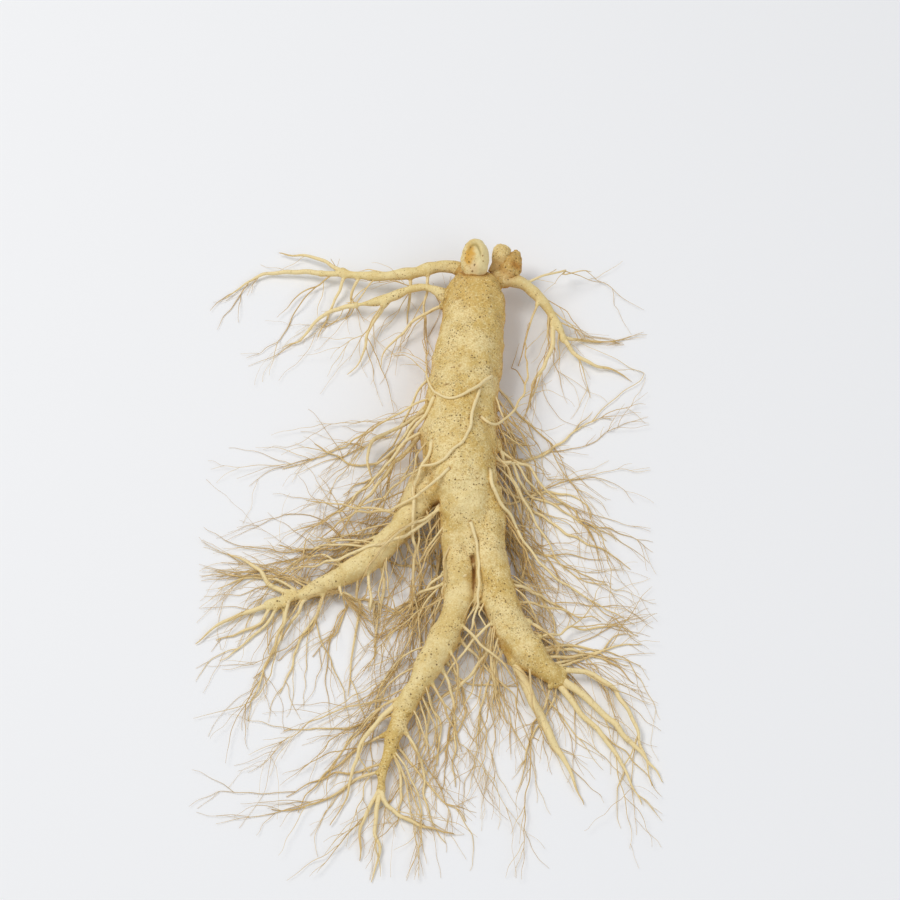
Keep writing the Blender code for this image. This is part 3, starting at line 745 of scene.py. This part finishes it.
# %% Sink the pits that have a place of their own
PITS_ABOVE = 8.0
PITS = {
    "fork_of_side_leg": (-9.6, -35.0, 1.5, 2.6, 1.5),
    "nick_at_waist": (-5.6, 13.6, 2.4, 0.6, 0.4),
    # Painted shade: the groove where the legs part is coloured dark as well as pressed in.
    "shaded_groove_down_web": (5.4, -64.0, 0.6, 8.5, 0.9),
}
for x, y, half_width, half_length, sink in PITS.values():
    away = np.hypot((skin[:, 0] - x) / half_width, (skin[:, 1] - y) / half_length)
    mark = bell(away, 0.8) * (skin[:, 2] > PITS_ABOVE)
    depth += sink * mark
    furrow_marks = np.maximum(furrow_marks, mark)
print("deepest place so far", round(float(depth.max()), 2), "mm")

# %% Raise the scars
SCARS, SCAR_SEED, THINNEST_SCARRED, SCAR_WIDTHS = 70, 9, 2.2, (0.7, 1.5)
scar_rng = np.random.default_rng(SCAR_SEED)
scar_marks = np.zeros(len(skin))
for _ in range(SCARS):
    here = scar_rng.integers(len(skin))
    if radius[here] < THINNEST_SCARRED:
        continue
    width = scar_rng.uniform(*SCAR_WIDTHS)
    away = np.linalg.norm((skin - skin[here]) * (1, 1.6, 1), axis=1)
    depth -= 0.36 * width * bell(away, width)
    depth += 0.42 * bell(away, 0.36 * width)
    scar_marks = np.maximum(scar_marks, bell(away, 0.55 * width))
print("highest scar", round(float(-depth.min()), 2), "mm")

# %% Open the skin where the threads come out
THREAD_HOLE, HOLE_DEPTH = 1.0, 0.25
for number in threads:
    base = main_rootlets[number][0, :3]
    away = np.linalg.norm(skin - skin[np.argmin(np.linalg.norm(skin - base, axis=1))], axis=1)
    depth += HOLE_DEPTH * bell(away, THREAD_HOLE)
    furrow_marks = np.maximum(furrow_marks, bell(away, THREAD_HOLE))
print(len(threads), "holes for threads")

# %% Seat the buds and shape the skin
COLLAR_REACH, COLLAR_DEPTH = 1.3, 0.55


def move_points(piece, places, lowest=0.0):
    """Puts a piece's points at places in millimetres, none under the lowest level."""
    places[:, 2] = np.maximum(places[:, 2], lowest)
    piece.data.vertices.foreach_set("co", (places * MM).astype(np.float32).ravel())
    piece.data.update()
    piece.data.shade_smooth()


def press(piece, amount):
    """Moves each point in along its normal by an amount in millimetres."""
    move_points(piece, points_of(piece) - normals_of(piece) * amount[:, None])


crown_gap = np.min([np.linalg.norm(skin - np.array([x, y, z]), axis=1) - share * size
                    for stations, size in CROWN_PARTS for x, y, z, share in stations], axis=0)
collar = np.exp(-np.maximum(crown_gap, 0) / COLLAR_REACH)
depth += COLLAR_DEPTH * bell(collar - 0.85, 0.15)
furrow_marks = np.maximum(furrow_marks, bell(collar - 0.92, 0.11))
press(main, depth)
print("main root is", len(main.data.polygons), "faces")

# %% [markdown]
# ## What the skin knows about itself
#
# A material can paint by place, but it can't see how thick a root is or where a groove runs. Those
# facts are worked out once and stored on the mesh as attributes, a number or a vector for each
# point. The material then reads them by name. A groove is a point that lies deeper than its
# neighbours' smoothed mean. The arms, the side leg and the left leg come out of the soil cleaner than
# the body, so they are told to be paler.

# %% Store facts on the mesh
def store(piece, **facts):
    """Stores arrays on a mesh as attributes: single numbers, or vectors of three."""
    for name, values in facts.items():
        values = np.asarray(values, np.float32)
        kind = "FLOAT_VECTOR" if values.ndim == 2 else "FLOAT"
        attribute = piece.data.attributes.new(name, kind, "POINT")
        attribute.data.foreach_set("vector" if values.ndim == 2 else "value", values.ravel())


def grooves(piece, passes):
    """How many millimetres each point lies below the smoothed surface round it."""
    places, normals = points_of(piece), normals_of(piece)
    edges = np.empty(len(piece.data.edges) * 2, np.int32)
    piece.data.edges.foreach_get("vertices", edges)
    one, two = edges.reshape(-1, 2).T
    count = np.bincount(one, minlength=len(places)) + np.bincount(two, minlength=len(places))
    smooth = places.copy()
    for _ in range(passes):
        total = np.empty_like(smooth)
        for axis in range(3):
            total[:, axis] = np.bincount(one, smooth[two, axis], len(places))
            total[:, axis] += np.bincount(two, smooth[one, axis], len(places))
        smooth = 0.5 * smooth + 0.5 * total / count[:, None]
    return ((smooth - places) * normals).sum(axis=1)


GROOVE_PASSES, CROWN_GROOVE_PASSES = 60, 25
PALENESS = np.array([0.0, 0.4, 0.0, 0.6, 0.7, 0.7, 0.7])  # in the order of GROWN_ROOTS

groove = grooves(main, GROOVE_PASSES)
# The sides that face down get the flank ochre: partly the skin's own ochre, partly painted shade and warm
# bounced light.
facing_down = -normals_of(main)[:, 2]
apart = between(lead, 0.0, 6.0)
flank_share = 0.7 + (0.45 * between(radius, 4.0, 11.0) - 0.15) * apart
flank = between(facing_down, -0.62, 0.25) * flank_share * (1.0 - 0.5 * between(facing_down, 0.2, 0.9))
pale = PALENESS[(down // ROOT_SHIFT).astype(int)] * apart
bark = np.clip(collar * 0.9 + 0.35 * between(-down, -9, -2) * on_body, 0, 1)
store(main, grain=grain, flank=flank, groove=groove, furrow=furrow_marks, scar=scar_marks, pale=pale,
      bark=bark, neck=shoulder)
print("grooves down to", round(float(groove.max()), 2), "mm")

# %% [markdown]
# ## The crown
#
# At the top of a ginseng root sits next spring's bud, a fat pale egg, and beside it a knob and the
# stump that the stems of earlier years left behind. They are made apart from the main root, because
# their detail is finer than the main root's mesh can hold. Each starts as a tube along its own short
# line. The big bud's inner scale shows as a shallow step that arches over its face, with an ochre
# stain inside it, and both are placed by two measures: how far across the face, and how far up it.

# %% Buds and stump
CROWN_VOXEL, CROWN_SMOOTHING = 0.24 * MM, 6


def crown_part(name, stations, size):
    """A part of the crown along its stations, with its caps melted round."""
    route = [(x, y, z, share * size) for x, y, z, share in stations]
    piece = tubes(name, [route], sides=32, steps=14)
    finish_with(piece, "REMESH", mode="VOXEL", voxel_size=CROWN_VOXEL)
    finish_with(piece, "SMOOTH", factor=0.5, iterations=CROWN_SMOOTHING)
    return piece


large_bud = crown_part("large_bud", LARGE_BUD, BUD_RADIUS)
small_bud = crown_part("small_bud", SMALL_BUD, KNOB_RADIUS)
stump = crown_part("stem_stump", STUMP, KNOB_RADIUS)
print("buds have", len(large_bud.data.vertices), "and", len(small_bud.data.vertices), "points")

# %% The big bud's face
FACE_UP, FACE_OUT = np.array([0, 0.883, 0.469]), np.array([0, -0.469, 0.883])
BUD_MIDDLE, FACE_WIDE, FACE_HIGH = np.array([6.2, 75.2, 22.3]), 5.6, 7.4
BUD_SPOTS = [
    (0.56, 0.14, 0.07), (0.60, -0.16, 0.07), (-0.70, 0.02, 0.06), (-0.18, -0.72, 0.09), (-0.34, 0.64, 0.08),
]

bud_skin = points_of(large_bud)
across = (bud_skin - BUD_MIDDLE)[:, 0] / FACE_WIDE
up = (bud_skin - BUD_MIDDLE) @ FACE_UP / FACE_HIGH
facing = between(normals_of(large_bud) @ FACE_OUT, -0.1, 0.4)
oval = np.hypot((across + 0.04) / 0.46, (up - 0.16) / 0.64)
step = bell(oval - 1.0, 0.18) * facing * between(up + 0.3 * across, 0.0, 0.5)
inner = between(1.0 - oval, 0.0, 0.25) * facing
bud_lumps = 0.10 * ripple(bud_skin, 3.4, 21) + 0.03 * ripple(bud_skin, 1.1, 22)
press(large_bud, 0.42 * step + 0.14 * inner + bud_lumps)
streak = across + 0.40 - 0.24 * (up - 0.2)
stain = bell(streak, 0.36) * bell(up - 0.16, 0.66) * facing
stain = between(stain + 0.12 * ripple(bud_skin, 2.2, 23), 0.16, 0.72)
milky = 0.55 + 0.75 * between(across, -0.25, 0.35)
spots = np.max([bell(np.hypot(across - x, up - y), size) for x, y, size in BUD_SPOTS], axis=0) * facing
# The bud's underside takes the flank ochre, partly painted shade and warm bounced light.
store(large_bud, grain=bud_skin * 0.5, stain=stain, furrow=0.9 * spots, moss=step, pale=milky,
      flank=0.6 * between(-normals_of(large_bud)[:, 2], -0.2, 0.5),
      groove=grooves(large_bud, CROWN_GROOVE_PASSES),
      blush=bell(across + 0.1, 0.35) * bell(up + 0.5, 0.3), bark=0.8 * bell(up + 1.05, 0.16))
print("the big bud's face has", len(BUD_SPOTS), "spots")

# %% The knob
knob_skin = points_of(small_bud)
press(small_bud, 0.20 * ripple(knob_skin, 3.4, 24) + 0.07 * ripple(knob_skin, 1.3, 25))
# The knob's underside takes the flank ochre, partly painted shade and warm bounced light.
store(small_bud, grain=knob_skin * (0.4, 1, 0.4), pale=np.full(len(knob_skin), 0.4),
      flank=between(-normals_of(small_bud)[:, 2], -0.5, 0.3),
      groove=grooves(small_bud, CROWN_GROOVE_PASSES),
      bark=0.15 + 0.5 * between(-knob_skin[:, 1], -79.5, -76.0))
print("knob has", len(knob_skin), "points")

# %% The stump of the old stems
RING_LENGTH = 2.4
STUMP_RUST = np.array([22.6, 75.6, 18.0])
stump_skin = points_of(stump)
stump_down, stump_offset, _, _ = own_root(stump_skin, [(STUMP, KNOB_RADIUS)])
rings = np.sin(stump_down * 2 * math.pi / RING_LENGTH + 0.9 * ripple(stump_skin, 5, 26))
rust = np.linalg.norm(stump_skin - STUMP_RUST, axis=1)
press(stump, 0.13 * rings + 0.30 * ripple(stump_skin, 3.8, 27) + 0.07 * ripple(stump_skin, 1.2, 28))
# The stump's underside takes the flank ochre, partly painted shade and warm bounced light.
store(stump, grain=stump_offset / 3 + stump_down[:, None] * (0, 1, 0),
      flank=between(-normals_of(stump)[:, 2], -0.6, 0.2), groove=grooves(stump, CROWN_GROOVE_PASSES),
      bark=0.60 + 0.25 * ripple(stump_skin, 4, 29) + 0.4 * bell(rust, 2.6))
print("stump has", len(stump_skin), "points")

# %% [markdown]
# ## Side rootlets and hairs
#
# Every rootlet branches again, and what a fresh root wears is a whole beard. First the rootlets that
# run over the skin are laid on it, since a thread lies on a root and doesn't sink in. Then branches
# grow. Each sets out aslant from what it grows from, and turns slowly: each turn keeps most of the last
# one, which gives long curves instead of jitter. It bends down its host, sags, and lies where it lands.
# A fixed number is spread by length over the hosts, and every strand thins to a point. Blender's own
# hair would have to be combed or simulated to lie down, where here each strand feels the skin as it
# grows.

# %% Lay the rootlets on the skin
skin_tree = BVHTree.FromObject(main, bpy.context.evaluated_depsgraph_get())
LIE, LIE_SMOOTHING = 0.75, 2


def above_skin(place):
    """How high a place stands over the skin, which way the skin faces there, and its nearest place."""
    near, normal, _, _ = skin_tree.find_nearest(place * MM)
    return (place - near / MM).dot(normal), normal, near / MM


def laid(route, fade):
    """The route lifted onto the skin wherever it would run through it, each point by its fade."""
    lift = np.zeros((len(route), 3))
    for number, (x, y, z, radius) in enumerate(route):
        height, normal, _ = above_skin(Vector((x, y, z)))
        lift[number] = normal * max(0.0, LIE * radius - height)
    for _ in range(LIE_SMOOTHING):
        padded = np.vstack([lift[:1], lift, lift[-1:]])
        lift = (padded[:-2] + 2 * padded[1:-1] + padded[2:]) / 4
    route = route.copy()
    route[:, :3] += lift * fade[:, None]
    route[:, 2] = np.maximum(route[:, 2], route[:, 3] + FLOOR_GAP)
    return route


def lift_share(number, route):
    """How much of its lift each point takes: a flared base stays where it swells out of the skin."""
    if number in threads:
        return np.clip(0.85 + 0.15 * np.arange(len(route)), 0, 1)
    _, outside = run_outside(route)
    return between(outside, 0.7 * FLARE_LENGTH, 1.3 * FLARE_LENGTH)


main_rootlets = [laid(route, lift_share(number, route)) for number, route in enumerate(main_rootlets)]
print(len(main_rootlets), "rootlets lie on the skin")

# %% Let branches grow
BOX_MARGIN = np.array([0.5, 0.5, 0.1])
LOW_BOX = np.array([x / MM for x in solid_low]) + BOX_MARGIN
HIGH_BOX = np.array([x / MM for x in solid_high]) - BOX_MARGIN
BEND, BEND_KEPT, PULL, DROOP = 0.034, 0.85, 0.035, 0.05
COMBED = Vector((0, -0.035, 0))
FIRST_PLACE, LAST_PLACE, NARROWER, START_SUNK = 0.06, 0.95, 0.85, 0.2
LOWEST_LEVEL, LEVEL_SPREAD, BOUNCE = 0.1, 2.2, 0.3
TOP_SLOPE, TOP_REACH, THIN_HOST, SHORTEST_SHARE = 0.3, 2.5, 1.5, 0.55
TAPER_FROM, TIP = 0.5, 0.05


def grow(rng, start, heading, flow, length, radius, step, level):
    """Points of a branch that turns slowly, sags to its level and ends where it meets a root's top."""
    count = max(4, round(length / step))
    place, direction, turn = start.copy(), heading.copy(), Vector()
    points = [(*place, radius)]
    for number in range(1, count + 1):
        turn = turn * BEND_KEPT + Vector([rng.gauss(0, 1) for _ in range(3)]) * BEND
        pull = flow * PULL + COMBED - Vector((0, 0, DROOP * math.sqrt(number)))
        direction = (direction + turn + pull).normalized()
        place = place + direction * (length / count)
        if place.z < radius + level:
            place.z = radius + level
            direction.z = abs(direction.z) * BOUNCE
        height, normal, near = above_skin(place)
        if number > 2 and height < radius:
            if normal.z > TOP_SLOPE:
                break
            place = near + normal * radius
            direction = (direction - normal * min(0.0, direction.dot(normal))).normalized()
        if not all(low < x < high for x, low, high in zip(place, LOW_BOX, HIGH_BOX)):
            break
        points.append((*place, radius * (1.0 - 0.5 * number / count)))
    return np.array(points)


def branches(seed, hosts, count, lengths, sizes, step, highest, sideways):
    """Branches along host routes, each host's share by its length.

    A thin host grows none where it lies on a root's top."""
    rng = random.Random(seed)
    runs = [np.linalg.norm(np.diff(host[:, :3], axis=0), axis=1).sum() for host in hosts]
    found = []
    for number, host in enumerate(rng.choices(hosts, runs, k=count)):
        place = rng.uniform(FIRST_PLACE, LAST_PLACE) * (len(host) - 1)
        low = min(int(place), len(host) - 2)
        a, b = Vector(host[low][:3]), Vector(host[low + 1][:3])
        here, thick = a.lerp(b, place - low), host[low][3]
        flow = (b - a).normalized()
        heading = outward(rng, flow, highest)
        length = rng.uniform(*lengths) * (0.5 + 0.5 * rng.random())
        radius = min(rng.uniform(*sizes), NARROWER * thick)
        start = here + heading * max(0.0, thick * NARROWER - START_SUNK)
        start.z = max(start.z, radius + FLOOR_GAP)
        level = LOWEST_LEVEL + LEVEL_SPREAD * rng.random() ** 2
        tip = (heading * rng.uniform(*sideways) + flow).normalized()
        height, normal, _ = above_skin(start)
        if thick < THIN_HOST and height < TOP_REACH and normal.z > TOP_SLOPE:
            continue
        points = grow(rng, start, tip, flow, length, radius, step, level)
        if len(points) < SHORTEST_SHARE * max(6, length / step):
            continue
        route = kinked(smooth_route(points, 0.65 * step), 1000 * seed + 3 * number)
        found.append(pointed(route, TAPER_FROM, TIP))
    return found


print("branches keep between", LOW_BOX.round(1).tolist(), "and", HIGH_BOX.round(1).tolist())

# %% Side rootlets
body, *legs_and_arms = thick_routes
legs, arms = legs_and_arms[:3], legs_and_arms[3:]
rooting = [smooth_route(route, COARSE_STEP) for route in (body[5:], *legs)]
arm_ends = [smooth_route(route[3:], COARSE_STEP) for route in arms]
side_rootlets = branches(
    31, rooting, 96, lengths=(30, 90), sizes=(0.30, 0.52), step=2.6, highest=0.5, sideways=(0.6, 1.5),
)
side_rootlets += branches(
    35, arm_ends, 16, lengths=(16, 40), sizes=(0.22, 0.4), step=2.6, highest=0.5, sideways=(0.5, 1.2),
)
thicker = main_rootlets + side_rootlets
fine_rootlets = branches(
    32, thicker, 420, lengths=(18, 70), sizes=(0.17, 0.32), step=2.5, highest=0.85, sideways=(0.25, 0.8),
)
print(len(side_rootlets), "side rootlets and", len(fine_rootlets), "fine ones")

# %% Hairs
hairs = branches(
    33, thicker + fine_rootlets, 1500, lengths=(6, 36), sizes=(0.09, 0.16), step=2.1, highest=0.95,
    sideways=(0.3, 0.9),
)
hairs += branches(
    34, rooting, 100, lengths=(5, 20), sizes=(0.10, 0.17), step=1.8, highest=0.47, sideways=(0.6, 1.6),
)
print(len(hairs), "hairs")

# %% [markdown]
# The routes become tubes in four meshes, by thickness. Each point of a tube then learns how thick its
# strand is and gets a tint of its own from the nearest point of the routes, which a k-d tree finds
# quickly. So neighbouring strands differ in their straw colour. Last, a cloudy texture swells the
# thickest strands into small knots.

# %% Tubes with a tint for each strand
def strands(name, routes, sides, seed):
    """One mesh of strands, each point of which knows its strand's thickness and tint."""
    piece = tubes(name, routes, sides)
    rng = np.random.default_rng(seed)
    every = np.vstack(routes)
    tint = np.repeat(rng.random(len(routes)), [len(route) for route in routes])
    tree = KDTree(len(every))
    for number, place in enumerate(every[:, :3]):
        tree.insert(place, number)
    tree.balance()
    nearest = np.array([tree.find(place)[1] for place in points_of(piece)])
    store(piece, thick=every[nearest, 3], tint=tint[nearest])
    piece.data.shade_smooth()
    return piece


rootlets = strands("rootlets", main_rootlets, sides=10, seed=41)
side = strands("side_rootlets", side_rootlets, sides=6, seed=42)
fine = strands("fine_rootlets", fine_rootlets, sides=4, seed=44)
hair = strands("root_hairs", hairs, sides=4, seed=43)
print("points:", *(len(piece.data.vertices) for piece in (rootlets, side, fine, hair)))

# %% Knots along the rootlets
KNOT_SIZE, KNOT_DEPTH, KNOTS_ABOVE = 2.2, 0.24, 0.02
knots = bpy.data.textures.new("knots", "CLOUDS")
knots.noise_scale = KNOT_SIZE * MM
finish_with(rootlets, "DISPLACE", texture=knots, strength=KNOT_DEPTH * MM)
move_points(rootlets, points_of(rootlets), lowest=KNOTS_ABOVE)
print("rootlets are knotted")

# %% [markdown]
# ## A short way to write materials
#
# Blender builds a material from nodes and links. Written out call by call, a line of arithmetic
# takes a dozen lines of code. So a small class wraps a socket and gives it the signs of arithmetic:
# each + or * adds a Math node. A second class makes a node of any kind with one method.

# %% Arithmetic on sockets
class Value:
    """A socket that takes part in arithmetic."""

    def __init__(self, recipe, socket):
        self.recipe, self.socket = recipe, socket

    def math(self, operation, first, second=0.0):
        return self.recipe.node("ShaderNodeMath", {"operation": operation}, {0: first, 1: second})

    def __add__(self, other):
        return self.math("ADD", self, other)

    def __sub__(self, other):
        return self.math("SUBTRACT", self, other)

    def __rsub__(self, other):
        return self.math("SUBTRACT", other, self)

    def __mul__(self, other):
        return self.math("MULTIPLY", self, other)

    def __gt__(self, other):
        return self.math("GREATER_THAN", self, other)

    __radd__, __rmul__ = __add__, __mul__


class Recipe:
    """A material with a Principled BSDF, and the node that every other node comes from."""

    def __init__(self, name, constants):
        self.material = bpy.data.materials.new(name)
        self.material.use_nodes = True
        self.tree = self.material.node_tree
        self.shader = self.tree.nodes["Principled BSDF"]
        for socket, value in constants.items():
            self.shader.inputs[socket].default_value = value
        self.place = self.node("ShaderNodeTexCoord", output="Object")

    def feed(self, socket, value):
        if isinstance(value, Value):
            self.tree.links.new(value.socket, socket)
        else:
            socket.default_value = value

    def node(self, kind, settings=None, sockets=None, output=0):
        made = self.tree.nodes.new(kind)
        for name, value in (settings or {}).items():
            setattr(made, name, value)
        for name, value in (sockets or {}).items():
            self.feed(made.inputs[name], value)
        return Value(self, made.outputs[output])


print("materials can be written as sums")

# %% Helpers for patterns
def srgb(red, green, blue):
    """A colour as an eye or a camera gives it, from 0 to 255, in Blender's linear numbers."""
    parts = [x / 255 for x in (red, green, blue)]
    return tuple(x / 12.92 if x <= 0.04045 else ((x + 0.055) / 1.055) ** 2.4 for x in parts) + (1.0,)


def fact(recipe, name, output="Fac"):
    """An attribute stored on the mesh."""
    return recipe.node("ShaderNodeAttribute", {"attribute_name": name}, output=output)


def noise(recipe, where, size, detail=3.0, roughness=0.55):
    """Noise from 0 to 1 whose features are about size units of where across."""
    sockets = {"Vector": where, "Scale": 1.0 / size, "Detail": detail, "Roughness": roughness}
    return recipe.node("ShaderNodeTexNoise", None, sockets)


def ramp(recipe, value, low, high):
    """0 at low, 1 at high and smooth between."""
    sockets = {"Value": value, "From Min": low, "From Max": high}
    return recipe.node("ShaderNodeMapRange", {"interpolation_type": "SMOOTHSTEP"}, sockets)


def mix(recipe, share, first, second):
    """One colour where share is 0 and the other where it is 1."""
    return recipe.node("ShaderNodeMix", {"data_type": "RGBA"}, {0: share, 6: first, 7: second}, output=2)


def dots(recipe, where, size, crowding, smallest, growth):
    """Dots in random cells of size: crowding from 0 to 1 says in how many cells there is one."""
    settings = {"feature": "F1"}
    sockets = {"Vector": where, "Scale": 1.0 / size}
    gap = recipe.node("ShaderNodeTexVoronoi", settings, sockets, "Distance")
    cell = recipe.node("ShaderNodeTexVoronoi", settings, sockets, "Color")
    draw, share, strength = (recipe.node("ShaderNodeSeparateColor", None, {0: cell}, n) for n in range(3))
    radius = share * growth + smallest
    return ramp(recipe, radius - gap, -0.04, 0.12) * (crowding > draw) * (strength * 0.7 + 0.3)


print("a middle grey of 128 is", round(srgb(128, 128, 128)[0], 2), "in linear light")

# %% [markdown]
# ## The skin
#
# A washed ginseng root is cream on its swells and straw to tan in its folds. Its grooves are browner
# the deeper they lie, partly from soil left in them and partly as painted shade. Its flanks that face
# down are ochre, partly the skin's own tone and partly painted shade and warm bounced light. Soil
# stays behind in its pores, so dark brown specks gather in loose swarms. The crown is brown like bark,
# and the big bud is paler, with an ochre stain. A painted picture could hold all of it, but it would
# blur close by and would need the mesh unwrapped. So one material mixes its colours by noise and by the
# facts on the mesh, and can be repainted in one place. SOIL and FOLD are its darkest colours, MILK its
# palest, and one ochre colours the flanks.

# %% The skin's material
CREAM, STRAW, TAN = srgb(240, 219, 160), srgb(217, 186, 110), srgb(194, 154, 82)
FOLD, BARK, SOIL, OCHRE = srgb(150, 104, 46), srgb(184, 132, 60), srgb(112, 82, 38), srgb(214, 158, 46)
OLIVE, BLUSH, FLANK_OCHRE_AND_SHADE = srgb(190, 166, 92), srgb(226, 190, 150), srgb(214, 152, 38)
MILK, MOSS = srgb(244, 228, 174), srgb(160, 136, 70)


def ginseng_skin():
    r = Recipe("ginseng_skin", {"IOR": 1.4, "Specular IOR Level": 0.4})
    where, grain = r.place, fact(r, "grain", "Vector")
    flank, groove, bark, stain = (fact(r, name) for name in ("flank", "groove", "bark", "stain"))
    furrow, scar, neck, pale, blush = (fact(r, name) for name in ("furrow", "scar", "neck", "pale", "blush"))
    moss = fact(r, "moss")
    cloud = noise(r, where, 15 * MM, 2.0)
    patch = noise(r, where, 4.2 * MM, 4.0)
    streak = noise(r, grain, 1.3, 3.0)
    mottle = noise(r, where, 1.9 * MM, 3.0)
    fine = noise(r, where, 0.7 * MM, 2.0)

    light = cloud * 0.5 + patch * 0.3 + mottle * 0.2 - neck * 0.10
    colour = mix(r, ramp(r, light, 0.42, 0.58), STRAW, CREAM)
    # Painted shade and warm bounced light, mixed with the skin's own ochre, on the sides that face down.
    colour = mix(r, flank * (patch * 0.9 + 0.45) + neck * 0.14, colour, FLANK_OCHRE_AND_SHADE)
    colour = mix(r, ramp(r, streak, 0.52, 0.72) * (neck * 0.55 + 0.22), colour, TAN)
    colour = mix(r, ramp(r, mottle, 0.48, 0.66) * 0.32, colour, OLIVE)
    colour = mix(r, ramp(r, fine, 0.47, 0.62) * (0.36 - pale * 0.30), colour, TAN)
    colour = mix(r, ramp(r, fine, 0.46, 0.34) * 0.55, colour, MILK)
    # Grooves turn FOLD brown, the deeper the darker: partly soil left in the creases, partly painted shade.
    colour = mix(r, ramp(r, groove, 0.10, 0.9) * 0.75, colour, FOLD)
    colour = mix(r, pale * 0.5, colour, MILK)
    colour = mix(r, blush * 0.5, colour, BLUSH)
    colour = mix(r, bark * (patch * 1.1 + 0.2), colour, BARK)
    colour = mix(r, stain * (patch * 0.5 + 0.60), colour, OCHRE)
    colour = mix(r, moss * 0.7, colour, MOSS)
    # Furrows, scars, pits, thread holes and the ring round the crown darken to FOLD brown; in the groove
    # where the legs part this is painted shade.
    dark = ramp(r, furrow + patch * 0.5 - 0.25, 0.25, 0.8) + ramp(r, scar, 0.6, 0.95) * 0.5
    colour = mix(r, dark * 0.8, colour, FOLD)
    crowd = ramp(r, noise(r, where, 9 * MM, 4.0), 0.41, 0.56) * 0.92 + 0.08
    specks = dots(r, where, 1.15 * MM, crowd * (0.95 - pale * 0.75), 0.13, 0.27)
    dust = dots(r, where, 0.72 * MM, crowd * (1.0 - pale * 0.85), 0.18, 0.28)
    colour = mix(r, dust * 0.75, colour, FOLD)
    colour = mix(r, specks * 0.9, colour, SOIL)
    r.feed(r.shader.inputs["Base Color"], colour)
    r.feed(r.shader.inputs["Roughness"], patch * 0.25 + 0.45)

    height = streak * (neck * 0.9 + 0.5) + fine * 0.5 + patch * 0.5 - specks * 0.5 - dust * 0.25
    bump = {"Height": height, "Strength": 0.75, "Distance": 0.35 * MM}
    r.feed(r.shader.inputs["Normal"], r.node("ShaderNodeBump", None, bump))
    return r.material


skin_material = ginseng_skin()
print("skin has", len(skin_material.node_tree.nodes), "nodes")

# %% [markdown]
# ## The rootlets' finish
#
# Thick rootlets share the skin's cream. The thinner a strand is, the more of its woody core shows and
# the browner it gets, and soil stains it darker in small spots. One colour for each of the four meshes
# would be simpler, but it would show a step in colour where a thin strand leaves a thick one. So the
# colour follows the thickness that is stored on the mesh, and each strand's tint shifts it a little.

# %% The rootlets' material
THREAD, THREAD_DARK, THREAD_PALE = srgb(228, 199, 138), srgb(206, 173, 112), srgb(240, 220, 168)


def rootlet_skin():
    r = Recipe("rootlet_skin", {"IOR": 1.4, "Specular IOR Level": 0.4})
    thick, tint = fact(r, "thick"), fact(r, "tint")
    patch = noise(r, r.place, 5 * MM, 3.0)
    mottle = noise(r, r.place, 1.1 * MM, 2.0)
    colour = mix(r, ramp(r, patch * 0.7 + tint * 0.5, 0.35, 0.85), THREAD_DARK, THREAD)
    colour = mix(r, ramp(r, thick * 1.1 + tint * 0.35 + patch * 0.3, 0.35, 1.05), colour, THREAD_PALE)
    colour = mix(r, ramp(r, thick, 0.6, 1.3) * patch, colour, CREAM)
    colour = mix(r, ramp(r, mottle, 0.56, 0.72) * 0.28, colour, FOLD)
    r.feed(r.shader.inputs["Base Color"], colour)
    r.feed(r.shader.inputs["Roughness"], mottle * 0.3 + 0.42)
    bump = {"Height": mottle, "Strength": 0.5, "Distance": 0.2 * MM}
    r.feed(r.shader.inputs["Normal"], r.node("ShaderNodeBump", None, bump))
    return r.material


rootlet_material = rootlet_skin()
print("rootlets have", len(rootlet_material.node_tree.nodes), "nodes")

# %% [markdown]
# Every piece now gets its finish. It is also told which body it moves with, which is the root's only
# one. The main root's skin replaces the plain solid, which is hidden.

# %% Put the finish on the pieces
finishes = {
    skin_material: (main, large_bud, small_bud, stump),
    rootlet_material: (rootlets, side, fine, hair),
}
for material, pieces in finishes.items():
    for piece in pieces:
        piece.data.materials.clear()
        piece.data.materials.append(material)
        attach(piece, "root")
        print(piece.name, "has", sum(len(face.vertices) - 2 for face in piece.data.polygons), "triangles")
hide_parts(NODE)

# %% [markdown]
# ## A plain place to look at it
#
# A pale floor and soft light show the root and nothing else. One large lamp stands to the upper left,
# as the brightest window would, and a weak one opposite keeps the shaded flank readable. A picture of
# a room could light it too, but two lamps are easier to place. The floor lies a twentieth of a
# millimetre below the root, because two surfaces at the same height can render as blotches.

# %% Floor
FLOOR_SIZE, FLOOR_DROP = 6.0, 0.05 * MM
bpy.ops.mesh.primitive_plane_add(size=FLOOR_SIZE, location=(0, 0, -FLOOR_DROP))
floor = bpy.context.object
floor.name = "floor"
floor_paint = Recipe("pale_floor", {"Roughness": 0.85})
floor_paint.feed(floor_paint.shader.inputs["Base Color"], srgb(242, 243, 245))
floor.data.materials.append(floor_paint.material)
print("floor is down")

# %% Light
def lamp(name, place, size, power, colour):
    """A square area lamp that faces the root."""
    place = Vector(place)
    bpy.ops.object.light_add(type="AREA", location=place)
    made = bpy.context.object
    made.name = name
    made.rotation_euler = (-place).to_track_quat("-Z", "Y").to_euler()
    made.data.size, made.data.energy, made.data.color = size, power, colour


lamp("window", (-0.95, 0.35, 1.6), size=0.9, power=18.0, colour=(1.0, 0.98, 0.95))
lamp("fill", (1.0, -0.8, 1.2), size=1.2, power=6.5, colour=(0.98, 0.98, 1.0))
world = bpy.data.worlds.new("soft_white")
world.use_nodes = True
sky = world.node_tree.nodes["Background"].inputs
sky["Color"].default_value = (0.95, 0.97, 1.0, 1.0)
sky["Strength"].default_value = 0.45
bpy.context.scene.world = world
bpy.context.scene.view_settings.view_transform = "Standard"
print("lights are on")
